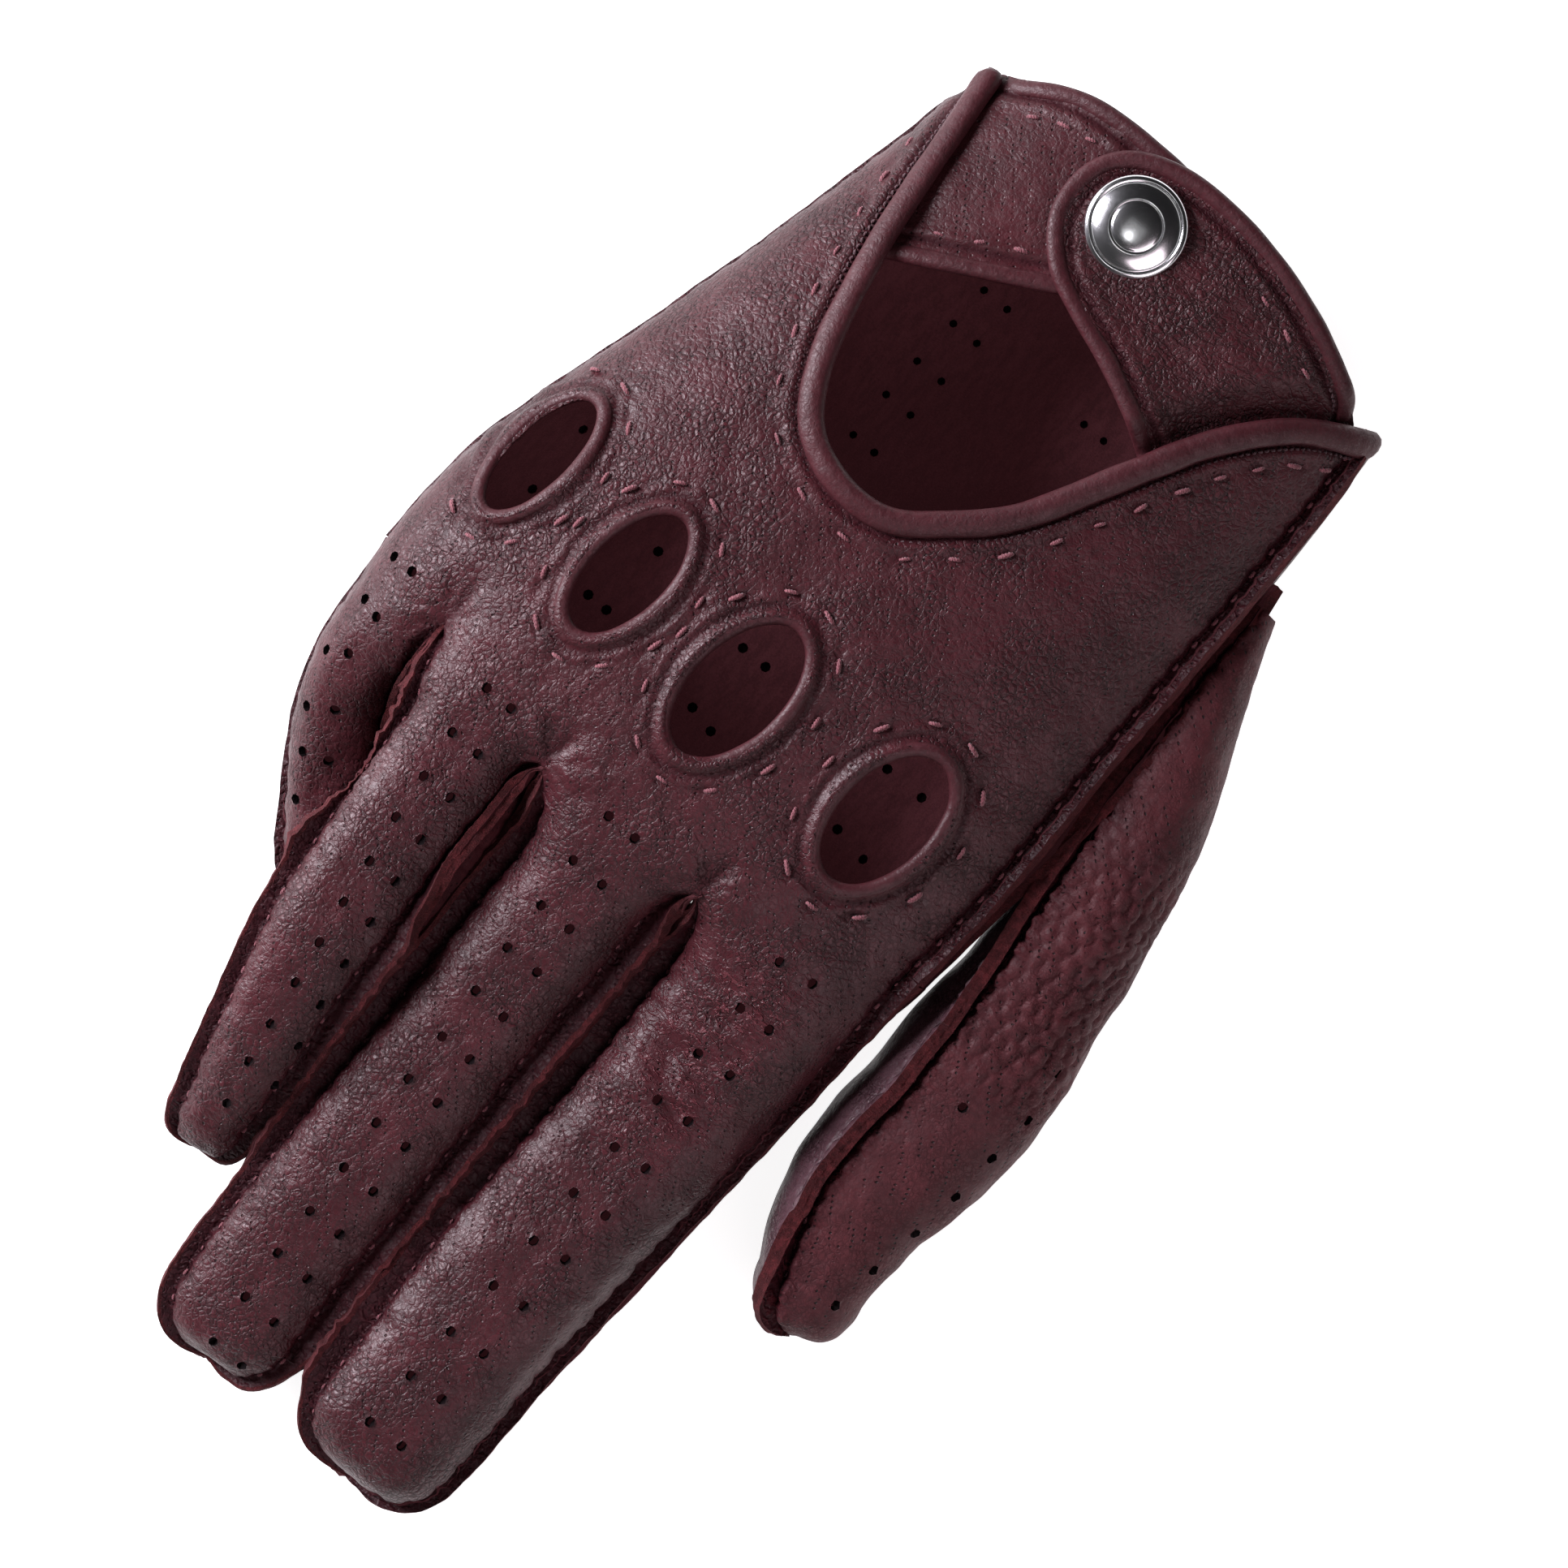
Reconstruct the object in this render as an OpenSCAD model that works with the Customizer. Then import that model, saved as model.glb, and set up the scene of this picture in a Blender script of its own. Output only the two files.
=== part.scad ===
// Right-hand leather driving glove, stuffed and lying palm down.
// +Y runs to the fingertips, +X to the little finger side, +Z up through the back of the hand.
// Every leather panel is a thin shell lofted over one hand section or one finger track.

/* [Leather] */
// thickness of one layer of leather
leather = 1.2; // [0.8:0.1:1.6]
// how far the raw seam edges stand out
flange = 2; // [1:0.1:3]
// thickness of a double raw seam edge
flange_t = 1.8; // [1.2:0.1:2.4]
// squareness of the hand section (2 is an ellipse)
squareness = 2.4; // [2:0.1:3]

/* [Bindings and thread] */
// radius of the rolled edge of a knuckle hole
knuckle_roll = 0.9; // [0.5:0.1:1.5]
// radius of the rolled edge of the wrist opening
wrist_roll = 1.4; // [0.8:0.1:2]
// distance from an edge to its hand stitches
stitch_inset = 4.6; // [3:0.1:6]
// length of one hand stitch
stitch_l = 2.2; // [1:0.1:3]
// thickness of the thread
thread = 0.6; // [0.3:0.1:1]
// pitch of the seam stitches
seam_pitch = 4.4; // [3:0.1:6]
// diameter of a ventilation hole
vent_d = 1.5; // [1:0.1:2.5]

/* [Snap] */
// diameter of the snap cap, a 24 ligne press fastener
cap_d = 15.2; // [12:0.1:18]
// height of the domed snap cap
cap_h = 2.6; // [2:0.1:4]
// X of the snap
snap_x = 9.4; // [5:0.1:14]
// Y of the snap
snap_y = -102.2; // [-106:0.1:-98]

/* [Node] */
// which sub-part is drawn

/* [Hidden] */
grain = [0.36, 0.22, 0.23];
edge = [0.45, 0.2, 0.22];
suede = [0.25, 0.09, 0.1];
pink = [0.75, 0.35, 0.38];
steel = [0.8, 0.8, 0.82];
dark_steel = [0.5, 0.5, 0.52];

// rows of a track: x, y, z of the centre, half width, half height
hand_rows = [
    [0.6, -118, 16.4, 37.4, 16.4],
    [1.4, -107, 16.8, 39.6, 16.8],
    [2.2, -97, 17.4, 40.8, 17.4],
    [3.6, -80, 18.4, 42.8, 18.4],
    [6, -60, 19.3, 45.4, 19.3],
    [9, -40, 19.9, 48.2, 19.9],
    [11.6, -20, 20.1, 51.2, 20.1],
    [12.6, -5, 19.6, 51.8, 19.6],
    [12.8, 2, 19.2, 51.2, 19.2]
];
index_rows = [
    [-20.6, 3.6, 17.6, 15.9, 17.4],
    [-20.4, 16, 16.6, 14.6, 15.8],
    [-20.2, 39, 14.4, 13.8, 13.4],
    [-19, 72, 13.4, 13.3, 12.4],
    [-18.8, 89, 12.6, 12.6, 11.6],
    [-19, 101, 11.8, 12.2, 10.8]
];
middle_rows = [
    [9.6, 3.4, 19, 12.4, 18.4],
    [9.7, 16, 18.6, 11.4, 16.4],
    [9.8, 39, 17, 11.3, 14],
    [9.4, 72, 14.6, 11.4, 12.2],
    [8.8, 92, 11.8, 11.2, 10.8],
    [8.2, 102, 10.4, 10.8, 9.6]
];
ring_rows = [
    [36, 3.8, 20, 11.6, 18.2],
    [36, 16, 21.4, 10.6, 14.6],
    [35.8, 31, 24.2, 9.9, 11.4],
    [34.4, 52, 24.4, 9, 10.4],
    [31.8, 68, 20.4, 7.2, 9.8],
    [30, 80, 14.8, 5.8, 9]
];
little_rows = [
    [56.2, 4, 14.4, 8, 13.8],
    [56, 16, 12.4, 7.2, 11.4],
    [53, 26, 9.6, 6.8, 9.2],
    [46.6, 36.6, 7.2, 6.6, 7],
    [41.8, 43, 6.6, 6.2, 6.4]
];
thumb_rows = [
    [-47.7, -41, 14.4, 7.4, 12.6],
    [-50.9, -20, 14.6, 9.8, 13],
    [-51.8, -5, 14, 11.2, 12.6],
    [-52.5, 10, 13.2, 12.4, 12],
    [-51.6, 22, 12.4, 12.2, 11.4],
    [-51.2, 32, 11.8, 11, 10.8],
    [-52, 40, 11.4, 9.8, 10.2],
    [-53.4, 46, 11, 8.2, 9.4]
];
thumb_root_rows = [
    [-40.4, -67, 14, 3.2, 9],
    [-40.4, -60, 14.2, 6.4, 11],
    [-40.4, -50, 14.4, 10.8, 12.4],
    [-40.4, -43.4, 14.4, 14, 12.8]
];

// centre, half width and half length of each knuckle hole
index_hole = [-17.9, -13, 6.8, 11.5];
middle_hole = [10.4, -13.7, 6.8, 12.1];
ring_hole = [33.3, -16.5, 5.6, 11];
little_hole = [54.2, -21.5, 4.3, 10.8];
holes = [index_hole, middle_hole, ring_hole, little_hole];
hole_lean = -6;

// the wrist opening, from the little finger side round to the thumb side
wrist_line = [
    [40.4, -107],
    [38.4, -97],
    [37.2, -86],
    [35.6, -75],
    [32, -60],
    [26.8, -50.6],
    [19, -46.6],
    [10.4, -46.8],
    [3, -52],
    [-4.4, -59.8],
    [-12.2, -74],
    [-19, -86],
    [-27.4, -95.4],
    [-38.4, -101.6]
];
strap_line = [
    [-14.2, -83.4],
    [-3, -84.6],
    [8, -86.4],
    [15.4, -90.4],
    [19.6, -96.6],
    [20, -104],
    [16.4, -109.6],
    [9, -112.6],
    [0, -113],
    [-9.6, -111.6],
    [-19, -108.8],
    [-27, -104],
    [-30, -100.6],
    [-24, -95.9],
    [-18.6, -90]
];
tab_line = [
    [36.4, -104.6],
    [31, -110.4],
    [25, -112.8],
    [16, -113.2],
    [6, -111.6],
    [1.6, -102],
    [5, -93],
    [13, -88.4],
    [24, -82.4],
    [34.6, -77]
];
index_seam = 158;
little_seam = -6;
thumb_seam = 42;

// ---- curves ----
function unit(v) = v / norm(v);
function ramp(c, w) = let(m = len(c) - 1, f = min(w * m, m - 0.000001)) [floor(f), f - floor(f)];
function bend(p, q, r, s, w) = (2 * q + (r - p) * w + (2 * p - 5 * q + 4 * r - s) * w * w
    + (3 * q - p - 3 * r + s) * w * w * w) / 2;
function curve(c, t) = let(m = len(c) - 1, k = ramp(c, t)[0], w = ramp(c, t)[1])
    bend(c[max(k - 1, 0)], c[k], c[k + 1], c[min(k + 2, m)], w);
function loop_at(c, t) = let(m = len(c), f = t * m, k = floor(f), w = f - k)
    bend(c[(k + m - 1) % m], c[k % m], c[(k + 1) % m], c[(k + 2) % m], w);
function track(c, n) = [for (i = [0:n]) curve(c, i / n)];
function part_of(c, a, b, n) = [for (i = [0:n]) curve(c, a + (b - a) * i / n)];
function tip(e, d, r, n) = [for (i = [1:n]) let(s = sin(90 * i / n), f = max(0.03, pow(cos(90 * i / n), 0.55)))
    [e[0] + d[0] * r * s, e[1] + d[1] * r * s, e[2] + d[2] * r * s, e[3] * f, e[4] * f]];
function finger(c, a, n, r) = let(p = part_of(c, a, 1, n), e = p[n], q = p[n - 1])
    concat(p, tip(e, unit([e[0] - q[0], e[1] - q[1], e[2] - q[2]]), r, 5));
function at(r) = [r[0], r[1], r[2]];
function power(v, e) = sign(v) * pow(abs(v), 2 / e);
function go(p, i) = let(n = len(p) - 1) len(p[i]) > 5 ? [0, 1, 0] : unit(at(p[min(i + 1, n)]) - at(p[max(i - 1, 0)]));
function side(p, i) = unit(cross(go(p, i), [0, 0, 1]));
function rim(p, i, g, off) = side(p, i) * max(p[i][3] - off, 0.02) * power(cos(g), squareness)
    + cross(side(p, i), go(p, i)) * max(p[i][4] - off, 0.02) * power(sin(g), squareness) + at(p[i]);
function back(list) = [for (i = [len(list) - 1:-1:0]) list[i]];
function shell_ring(p, i, a, b, n, d, t) = concat(
    [for (k = [0:n]) rim(p, i, a + (b - a) * k / n, d)],
    back([for (k = [0:n]) rim(p, i, a + (b - a) * k / n, d + t)])
);
function hand_at(y) = [for (k = [0:4]) lookup(y, [for (r = hand_rows) [r[1], r[k]]])];
function hand_top(x, y) = let(h = hand_at(y), r = min(abs(x - h[0]) / h[3], 0.999))
    h[2] + h[4] * pow(1 - pow(r, squareness), 1 / squareness);
function on_hand(v, lift) = [v[0], v[1], hand_top(v[0], v[1]) + lift];
function hand_track(n, a, b) = [for (i = [0:n]) concat(hand_at(a + (b - a) * i / n), 1)];
function oval(h, grow, g) = let(u = (h[2] + grow) * cos(g), v = (h[3] + grow) * sin(g))
    [h[0] + u * cos(hole_lean) - v * sin(hole_lean), h[1] + u * sin(hole_lean) + v * cos(hole_lean)];

// ---- solids ----
// rings of points joined into one solid; shells close their ends as a strip, rods as a fan
module loft(s, shell = false, closed = false) {
    n = len(s[0]);
    m = len(s);
    last = closed ? m - 1 : m - 2;
    sides = [for (i = [0:last]) for (j = [0:n - 1]) let(
        a = i * n + j,
        b = i * n + (j + 1) % n,
        c = ((i + 1) % m) * n + (j + 1) % n,
        d = ((i + 1) % m) * n + j
    ) each [[a, b, c], [a, c, d]]];
    fan = [for (j = [1:n - 2]) each [[0, j + 1, j], [(m - 1) * n, (m - 1) * n + j, (m - 1) * n + j + 1]]];
    half = floor(n / 2);
    strip = [for (j = [0:half - 2]) let(a = n - 1 - j, e = (m - 1) * n) each [
        [j, a, j + 1],
        [j + 1, a, a - 1],
        [e + j, e + j + 1, e + a],
        [e + j + 1, e + a - 1, e + a]
    ]];
    ends = closed ? [] : (shell ? strip : fan);
    polyhedron(points = [for (r = s) each r], faces = concat(sides, ends), convexity = 6);
}
// shell over a track between two section angles, sunk by d, t thick
module skin(p, a, b, n, d = 0, t = leather) {
    loft([for (i = [0:len(p) - 1]) shell_ring(p, i, a, b, n, d, t)], shell = true);
}
// raw double edge standing out of a track at one section angle
module fin(p, g, stop) {
    loft([for (i = [0:stop]) let(
        q = rim(p, i, g, 0.05),
        o = unit(q - at(p[i])),
        s = cross(go(p, i), o) * flange_t / 2
    ) [q + s, q - s, q - s + o * flange, q + s + o * flange]]);
}
// small thread stitch at a point, along d, lying flat on the direction up
module stitch(p, d, up) {
    e = unit(d) * stitch_l / 2;
    s = unit(cross(d, up)) * thread / 2;
    u = unit(up) * thread;
    loft([
        [p - e - s, p - e + s, p - e + s + u, p - e - s + u],
        [p + e - s, p + e + s, p + e + s + u, p + e - s + u]
    ]);
}
// stitches down the flank of a raw edge
module fin_stitches(p, g, skip) {
    for (i = [1:skip:len(p) - 1]) {
        q = rim(p, i, g, 0.05);
        o = unit(q - at(p[i]));
        s = cross(go(p, i), o) * (flange_t / 2 + 0.02);
        stitch(q + o * (flange / 2) + s * sign(s[2]), go(p, i), s * sign(s[2]));
    }
}
// rolled edge of radius r along points
module roll(pts, r, closed = false, n = 6) {
    m = len(pts);
    loft([for (i = [0:m - 1]) let(
        a = closed ? pts[(i + m - 1) % m] : pts[max(i - 1, 0)],
        b = closed ? pts[(i + 1) % m] : pts[min(i + 1, m - 1)],
        d = unit(b - a),
        x = unit(cross(d, [0, 0, 1])),
        y = cross(x, d)
    ) [for (k = [0:n - 1]) pts[i] + (x * cos(k * 360 / n) + y * sin(k * 360 / n)) * r]], closed = closed);
}
// flat outline extruded right through the hand's height
module slab(pts, z = 8) {
    translate([0, 0, z])
        linear_extrude(50)
        polygon(pts);
}
// thin sheet over the top of the hand inside an outline, lifted above the hand's surface
module patch(pts, lift, t) {
    resize([0, 0, 0])
        intersection() {
            skin(hand_track(12, -117.5, -72), 6, 174, 20, -lift - t, t);
            slab(pts);
        }
}
module knuckle_binding(h) {
    roll([for (i = [0:19]) on_hand(oval(h, 0.3, i * 18), -0.3)], knuckle_roll, closed = true);
}
module vents(rows) {
    for (v = rows)
        translate([v[0], v[1], 16])
            cylinder(d = vent_d, h = 40, $fn = 6);
}
function vent_rows(a, b, n, w) = [for (i = [0:n - 1]) let(c = a + (b - a) * i / (n - 1)) each [
    [c[0] - w / 2, c[1] - 0.4],
    [c[0] + w / 2, c[1] + 0.4]
]];
module vented(rows) {
    resize([0, 0, 0])
        difference() {
            children();
            vents(rows);
        }
}

// ---- hand ----
module back_hand() {
    opening = [for (i = [0:42]) curve(wrist_line, i / 42)];
    color(grain)
        resize([0, 0, 0])
        difference() {
            skin(hand_track(18, -107, 1.6), little_seam + 0.6, index_seam - 0.6, 26);
            slab(concat([[42, -130]], opening, [[-60, -102], [-60, -130]]));
            for (h = holes)
                slab([for (i = [0:19]) oval(h, 0, i * 18)]);
        }
}
function palm_rim(p, i, g, d) = let(q = rim(p, i, g, d)) [q[0], q[1], max(q[2], d)];
function palm_ring(p, i, a, b, n) = concat(
    [for (k = [0:n]) palm_rim(p, i, a + (b - a) * k / n, 0)],
    back([for (k = [0:n]) palm_rim(p, i, a + (b - a) * k / n, leather)])
);
module palm_hand() {
    flat = [for (r = hand_track(11, -103, 1.6)) [r[0], r[1], r[2], r[3], r[4] + 3, 1]];
    color(grain)
        resize([0, 0, 0])
        difference() {
            loft([for (i = [0:11]) palm_ring(flat, i, index_seam + 0.6, 360 + little_seam - 0.6, 20)], shell = true);
            translate([-48, -51, 14])
                rotate([0, 90, 0])
                scale([1, 1.05, 1])
                cylinder(r = 8.6, h = 16, $fn = 20);
        }
}
module knuckle_binding_index() {
    color(grain)
        knuckle_binding(index_hole);
}
module knuckle_binding_middle() {
    color(grain)
        knuckle_binding(middle_hole);
}
module knuckle_binding_ring() {
    color(grain)
        knuckle_binding(ring_hole);
}
module knuckle_binding_little() {
    color(grain)
        knuckle_binding(little_hole);
}
module knuckle_stitches() {
    color(pink)
        for (h = holes, i = [0:10]) {
            a = on_hand(oval(h, stitch_inset, i * 360 / 11 - 6), 0);
            b = on_hand(oval(h, stitch_inset, i * 360 / 11 + 6), 0);
            if (a[0] < 58)
                stitch((a + b) / 2, b - a, [0, 0, 1]);
        }
}
module wrist_binding() {
    color(grain)
        roll([for (i = [0:42]) on_hand(curve(wrist_line, i / 42), -0.6)], wrist_roll);
}
function wrist_out(t) = let(a = curve(wrist_line, t - 0.01), b = curve(wrist_line, t + 0.01), d = unit(b - a))
    (a + b) / 2 + [-d[1], d[0]] * -stitch_inset;
module wrist_stitches() {
    color(pink)
        for (i = [0:26]) {
            a = on_hand(wrist_out(0.12 + i * 0.0315 - 0.004), 0);
            b = on_hand(wrist_out(0.12 + i * 0.0315 + 0.004), 0);
            stitch((a + b) / 2, b - a, [0, 0, 1]);
        }
}
module palm_hem_binding() {
    row = hand_at(-103);
    p = [[row[0], -103.2, row[2], row[3], row[4] + 3], [row[0], -104.2, row[2], row[3], row[4] + 3]];
    color(grain)
        roll([for (k = [0:26]) let(q = rim(p, 1, index_seam + (360 + little_seam - index_seam) * k / 26, 1.2))
            [q[0], -104.6, max(q[2], 1.3)]], 1.3);
}
module under_tab() {
    color(grain)
        patch([for (i = [0:39]) loop_at(tab_line, i / 40)], -leather - 1.6, leather);
}
module tab_binding() {
    color(grain) {
        roll([for (i = [0:14]) on_hand(curve(tab_line, 0.01 + 0.46 * i / 14), -leather - 1)], 0.9);
        roll([for (i = [0:10]) on_hand(curve(tab_line, 0.78 + 0.21 * i / 10), -leather - 1)], 0.9);
    }
}
module tab_stitches() {
    color(pink)
        for (i = [0:4]) {
            stitch(on_hand([21 + i * 3.2, -109.6 + i * 0.5 * i / 2.4], -1.6), [1, 0.2, 0], [0, 0, 1]);
            stitch(on_hand([19.4 + i * 3.4, -88.6 + i * 1.8], -1.6), [2, 1, 0], [0, 0, 1]);
        }
}
snap_z = hand_top(snap_x, snap_y);
module snap_stud() {
    color(steel)
        translate([snap_x, snap_y, snap_z])
        rotate_extrude($fn = 48)
        polygon([[0, -2.5], [4.2, -2.5], [4.2, -2], [2, -2], [1.7, -0.8], [2.1, -0.3], [1.6, 0.1], [0, 0.1]]);
}
module snap_post() {
    color(dark_steel)
        translate([snap_x, snap_y, snap_z - 3.8])
        difference() {
            cylinder(d = 10.4, h = 0.6, $fn = 48);
            translate([0, 0, -1])
                cylinder(d = 2.4, h = 3, $fn = 32);
        }
}
module index_side_flange() {
    color(edge)
        fin(hand_track(18, -100, 1.4), index_seam, 18);
}
module index_side_stitches() {
    color(pink)
        fin_stitches(hand_track(24, -97, 1), index_seam, 1);
}
module little_side_flange() {
    color(edge)
        fin(hand_track(18, -104, 1.4), little_seam, 18);
}
module little_side_stitches() {
    color(pink)
        fin_stitches(hand_track(24, -102, 1), little_seam, 1);
}
module thumb_base_flange() {
    line = [[-42.6, -72, 21], [-43.2, -57, 24.6], [-43.4, -44, 26.6], [-43, -42.4, 26.8]];
    color(edge)
        loft([for (i = [0:10]) let(c = curve(line, i / 10))
            [c + [-0.9, 0, -2.6], c + [0.9, 0, -2.6], c + [0.9, 0, 0], c + [-0.9, 0, 0]]]);
}

// ---- roots that bend ----
module root(rows, share) {
    color(grain)
        skin(part_of(rows, 0, share, 3), -88, 268, 20);
}
module index_root() {
    root(index_rows, 0.185);
}
module middle_root() {
    root(middle_rows, 0.185);
}
module ring_root() {
    root(ring_rows, 0.17);
}
module little_root() {
    root(little_rows, 0.2);
}
module thumb_root() {
    color(grain)
        skin(track(thumb_root_rows, 5), 86, 274, 12);
}

// ---- fingers ----
index_path = finger(index_rows, 0.2, 11, 11.4);
middle_path = finger(middle_rows, 0.2, 11, 10.6);
ring_path = finger(ring_rows, 0.2, 11, 9.6);
little_path = finger(little_rows, 0.25, 8, 8);
thumb_path = finger(thumb_rows, 0, 11, 8.6);

module index_back() {
    color(grain)
        vented(vent_rows([-22, 17], [-21, 102], 10, 5.4))
        skin(index_path, 28, 171.6, 12);
}
module index_palm() {
    color(grain)
        skin(index_path, 172.4, 331.6, 9);
}
module index_fourchette() {
    color(suede)
        skin(index_path, -27.6, 27.4, 2);
}
module index_flange() {
    color(edge) {
        fin(index_path, 172, 15);
        fin(index_path, 28, 15);
    }
}
module index_stitches() {
    color(pink)
        fin_stitches(finger(index_rows, 0.21, 20, 11.4), 172, 1);
}
module middle_back() {
    color(grain)
        vented(vent_rows([9.6, 18], [8, 106], 11, 5.2))
        skin(middle_path, 28, 152, 12);
}
module middle_palm() {
    color(grain)
        skin(middle_path, 208, 332, 8);
}
module middle_fourchette_index() {
    color(suede)
        skin(middle_path, 152.6, 207.4, 2);
}
module middle_fourchette_ring() {
    color(suede)
        skin(middle_path, -27.4, 27.4, 2);
}
module middle_flange() {
    color(edge) {
        fin(middle_path, 28, 15);
        fin(middle_path, 152, 15);
    }
}
module ring_back() {
    color(grain)
        vented(vent_rows([36, 19], [30, 82], 8, 4.8))
        skin(ring_path, 28, 152, 10);
}
module ring_palm() {
    color(grain)
        skin(ring_path, 208, 332, 7);
}
module ring_fourchette_middle() {
    color(suede)
        skin(ring_path, 152.6, 207.4, 2);
}
module ring_fourchette_little() {
    color(suede)
        skin(ring_path, -27.4, 27.4, 2);
}
module ring_flange() {
    color(edge) {
        fin(ring_path, 28, 15);
        fin(ring_path, 152, 15);
    }
}
module little_back() {
    color(grain)
        vented(vent_rows([59, 18], [53, 34], 3, 3.6))
        skin(little_path, -7.6, 152, 10);
}
module little_palm() {
    color(grain)
        skin(little_path, 208, 351.6, 8);
}
module little_fourchette() {
    color(suede)
        skin(little_path, 152.6, 207.4, 2);
}
module little_flange() {
    color(edge) {
        fin(little_path, -8, 12);
        fin(little_path, 152, 12);
    }
}
module thumb_outer() {
    color(grain)
        vented(vent_rows([-61, 6], [-58.6, 46], 6, 2.8))
        skin(thumb_path, thumb_seam + 0.6, 249.4, 14);
}
module thumb_inner() {
    color(grain)
        skin(thumb_path, -109.4, thumb_seam - 0.6, 10);
}
module thumb_flange() {
    color(edge)
        fin(thumb_path, thumb_seam, 15);
}
module thumb_stitches() {
    color(pink)
        fin_stitches(finger(thumb_rows, 0.02, 18, 8.6), thumb_seam, 1);
}

// ---- strap ----
strap_pts = [for (i = [0:44]) loop_at(strap_line, i / 45)];
module snap_hole() {
    resize([0, 0, 0])
        difference() {
            children();
            translate([snap_x, snap_y, snap_z - 5])
                cylinder(r = 3.2, h = 10, $fn = 24);
        }
}
module strap_outer() {
    color(grain)
        snap_hole()
        patch(strap_pts, -0.3, 1);
}
module strap_lining() {
    color(suede)
        snap_hole()
        patch(strap_pts, -1.1, 0.7);
}
module strap_binding() {
    color(grain)
        roll([for (i = [0:44]) on_hand(curve(strap_line, 0.02 + i * 0.8 / 44), -0.2)], 0.9);
}
function strap_in(t) = let(a = curve(strap_line, t - 0.01), b = curve(strap_line, t + 0.01), d = unit(b - a))
    (a + b) / 2 + [d[1], -d[0]] * 3.6;
module strap_stitches() {
    color(pink)
        for (i = [0:5]) {
            a = on_hand(strap_in(0.5 + i * 0.048 - 0.008), 0.7);
            b = on_hand(strap_in(0.5 + i * 0.048 + 0.008), 0.7);
            stitch((a + b) / 2, b - a, [0, 0, 1]);
        }
}
module snap_cap() {
    r = cap_d / 2;
    color(steel)
        translate([snap_x, snap_y, snap_z + 0.75])
        rotate_extrude($fn = 64)
        polygon([
            [0, 0],
            [r - 0.3, 0],
            [r, 0.4],
            [r - 0.1, 0.9],
            [r - 0.8, 1.4],
            [r - 1, 1.3],
            [r - 1.2, 1.6],
            [4.1, cap_h - 0.2],
            [3.9, cap_h - 0.4],
            [3.7, cap_h - 0.1],
            [0, cap_h]
        ]);
}
module snap_socket() {
    color(dark_steel)
        translate([snap_x, snap_y, snap_z - 0.7])
        difference() {
            cylinder(d = 9.4, h = 1.35, $fn = 48);
            translate([0, 0, -1])
                cylinder(d = 5.2, h = 2.5, $fn = 32);
        }
}
module snap_spring() {
    color(steel)
        for (s = [-1, 1])
            translate([snap_x + s * 2.5, snap_y - 1.6, snap_z - 0.35])
                rotate([-90, 0, 0])
                cylinder(d = 0.4, h = 3.2, $fn = 16);
}

back_hand();
palm_hand();
knuckle_binding_index();
knuckle_binding_middle();
knuckle_binding_ring();
knuckle_binding_little();
knuckle_stitches();
wrist_binding();
wrist_stitches();
palm_hem_binding();
under_tab();
tab_binding();
tab_stitches();
snap_stud();
snap_post();
index_side_flange();
index_side_stitches();
little_side_flange();
little_side_stitches();
thumb_base_flange();
index_root();
middle_root();
ring_root();
little_root();
thumb_root();
index_back();
index_palm();
index_fourchette();
index_flange();
index_stitches();
middle_back();
middle_palm();
middle_fourchette_index();
middle_fourchette_ring();
middle_flange();
ring_back();
ring_palm();
ring_fourchette_middle();
ring_fourchette_little();
ring_flange();
little_back();
little_palm();
little_fourchette();
little_flange();
thumb_outer();
thumb_inner();
thumb_flange();
thumb_stitches();
strap_outer();
strap_lining();
strap_binding();
strap_stitches();
snap_cap();
snap_socket();
snap_spring();
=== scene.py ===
"""Looks of the leather driving glove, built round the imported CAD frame.

Lengths are in mm until a mesh is made. The floor, the lamps and the camera are in metres.
"""

import math

import bpy
import numpy as np
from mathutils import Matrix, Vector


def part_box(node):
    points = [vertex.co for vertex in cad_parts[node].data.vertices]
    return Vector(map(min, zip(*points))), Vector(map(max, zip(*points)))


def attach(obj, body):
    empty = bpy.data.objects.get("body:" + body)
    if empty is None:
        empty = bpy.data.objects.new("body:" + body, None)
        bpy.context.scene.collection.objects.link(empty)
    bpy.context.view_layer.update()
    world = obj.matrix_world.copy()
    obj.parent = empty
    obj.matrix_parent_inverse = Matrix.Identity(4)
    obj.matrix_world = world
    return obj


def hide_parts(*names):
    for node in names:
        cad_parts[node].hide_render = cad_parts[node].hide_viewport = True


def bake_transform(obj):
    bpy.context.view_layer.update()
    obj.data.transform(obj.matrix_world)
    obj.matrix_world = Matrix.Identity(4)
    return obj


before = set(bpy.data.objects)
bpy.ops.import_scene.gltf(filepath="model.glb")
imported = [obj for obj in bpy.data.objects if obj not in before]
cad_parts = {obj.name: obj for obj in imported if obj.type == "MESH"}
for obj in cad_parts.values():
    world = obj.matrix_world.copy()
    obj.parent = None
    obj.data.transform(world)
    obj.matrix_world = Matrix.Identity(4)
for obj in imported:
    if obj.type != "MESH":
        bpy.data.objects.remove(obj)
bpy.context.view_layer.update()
MM = 0.001
Z = np.array([0.0, 0.0, 1.0])

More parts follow.
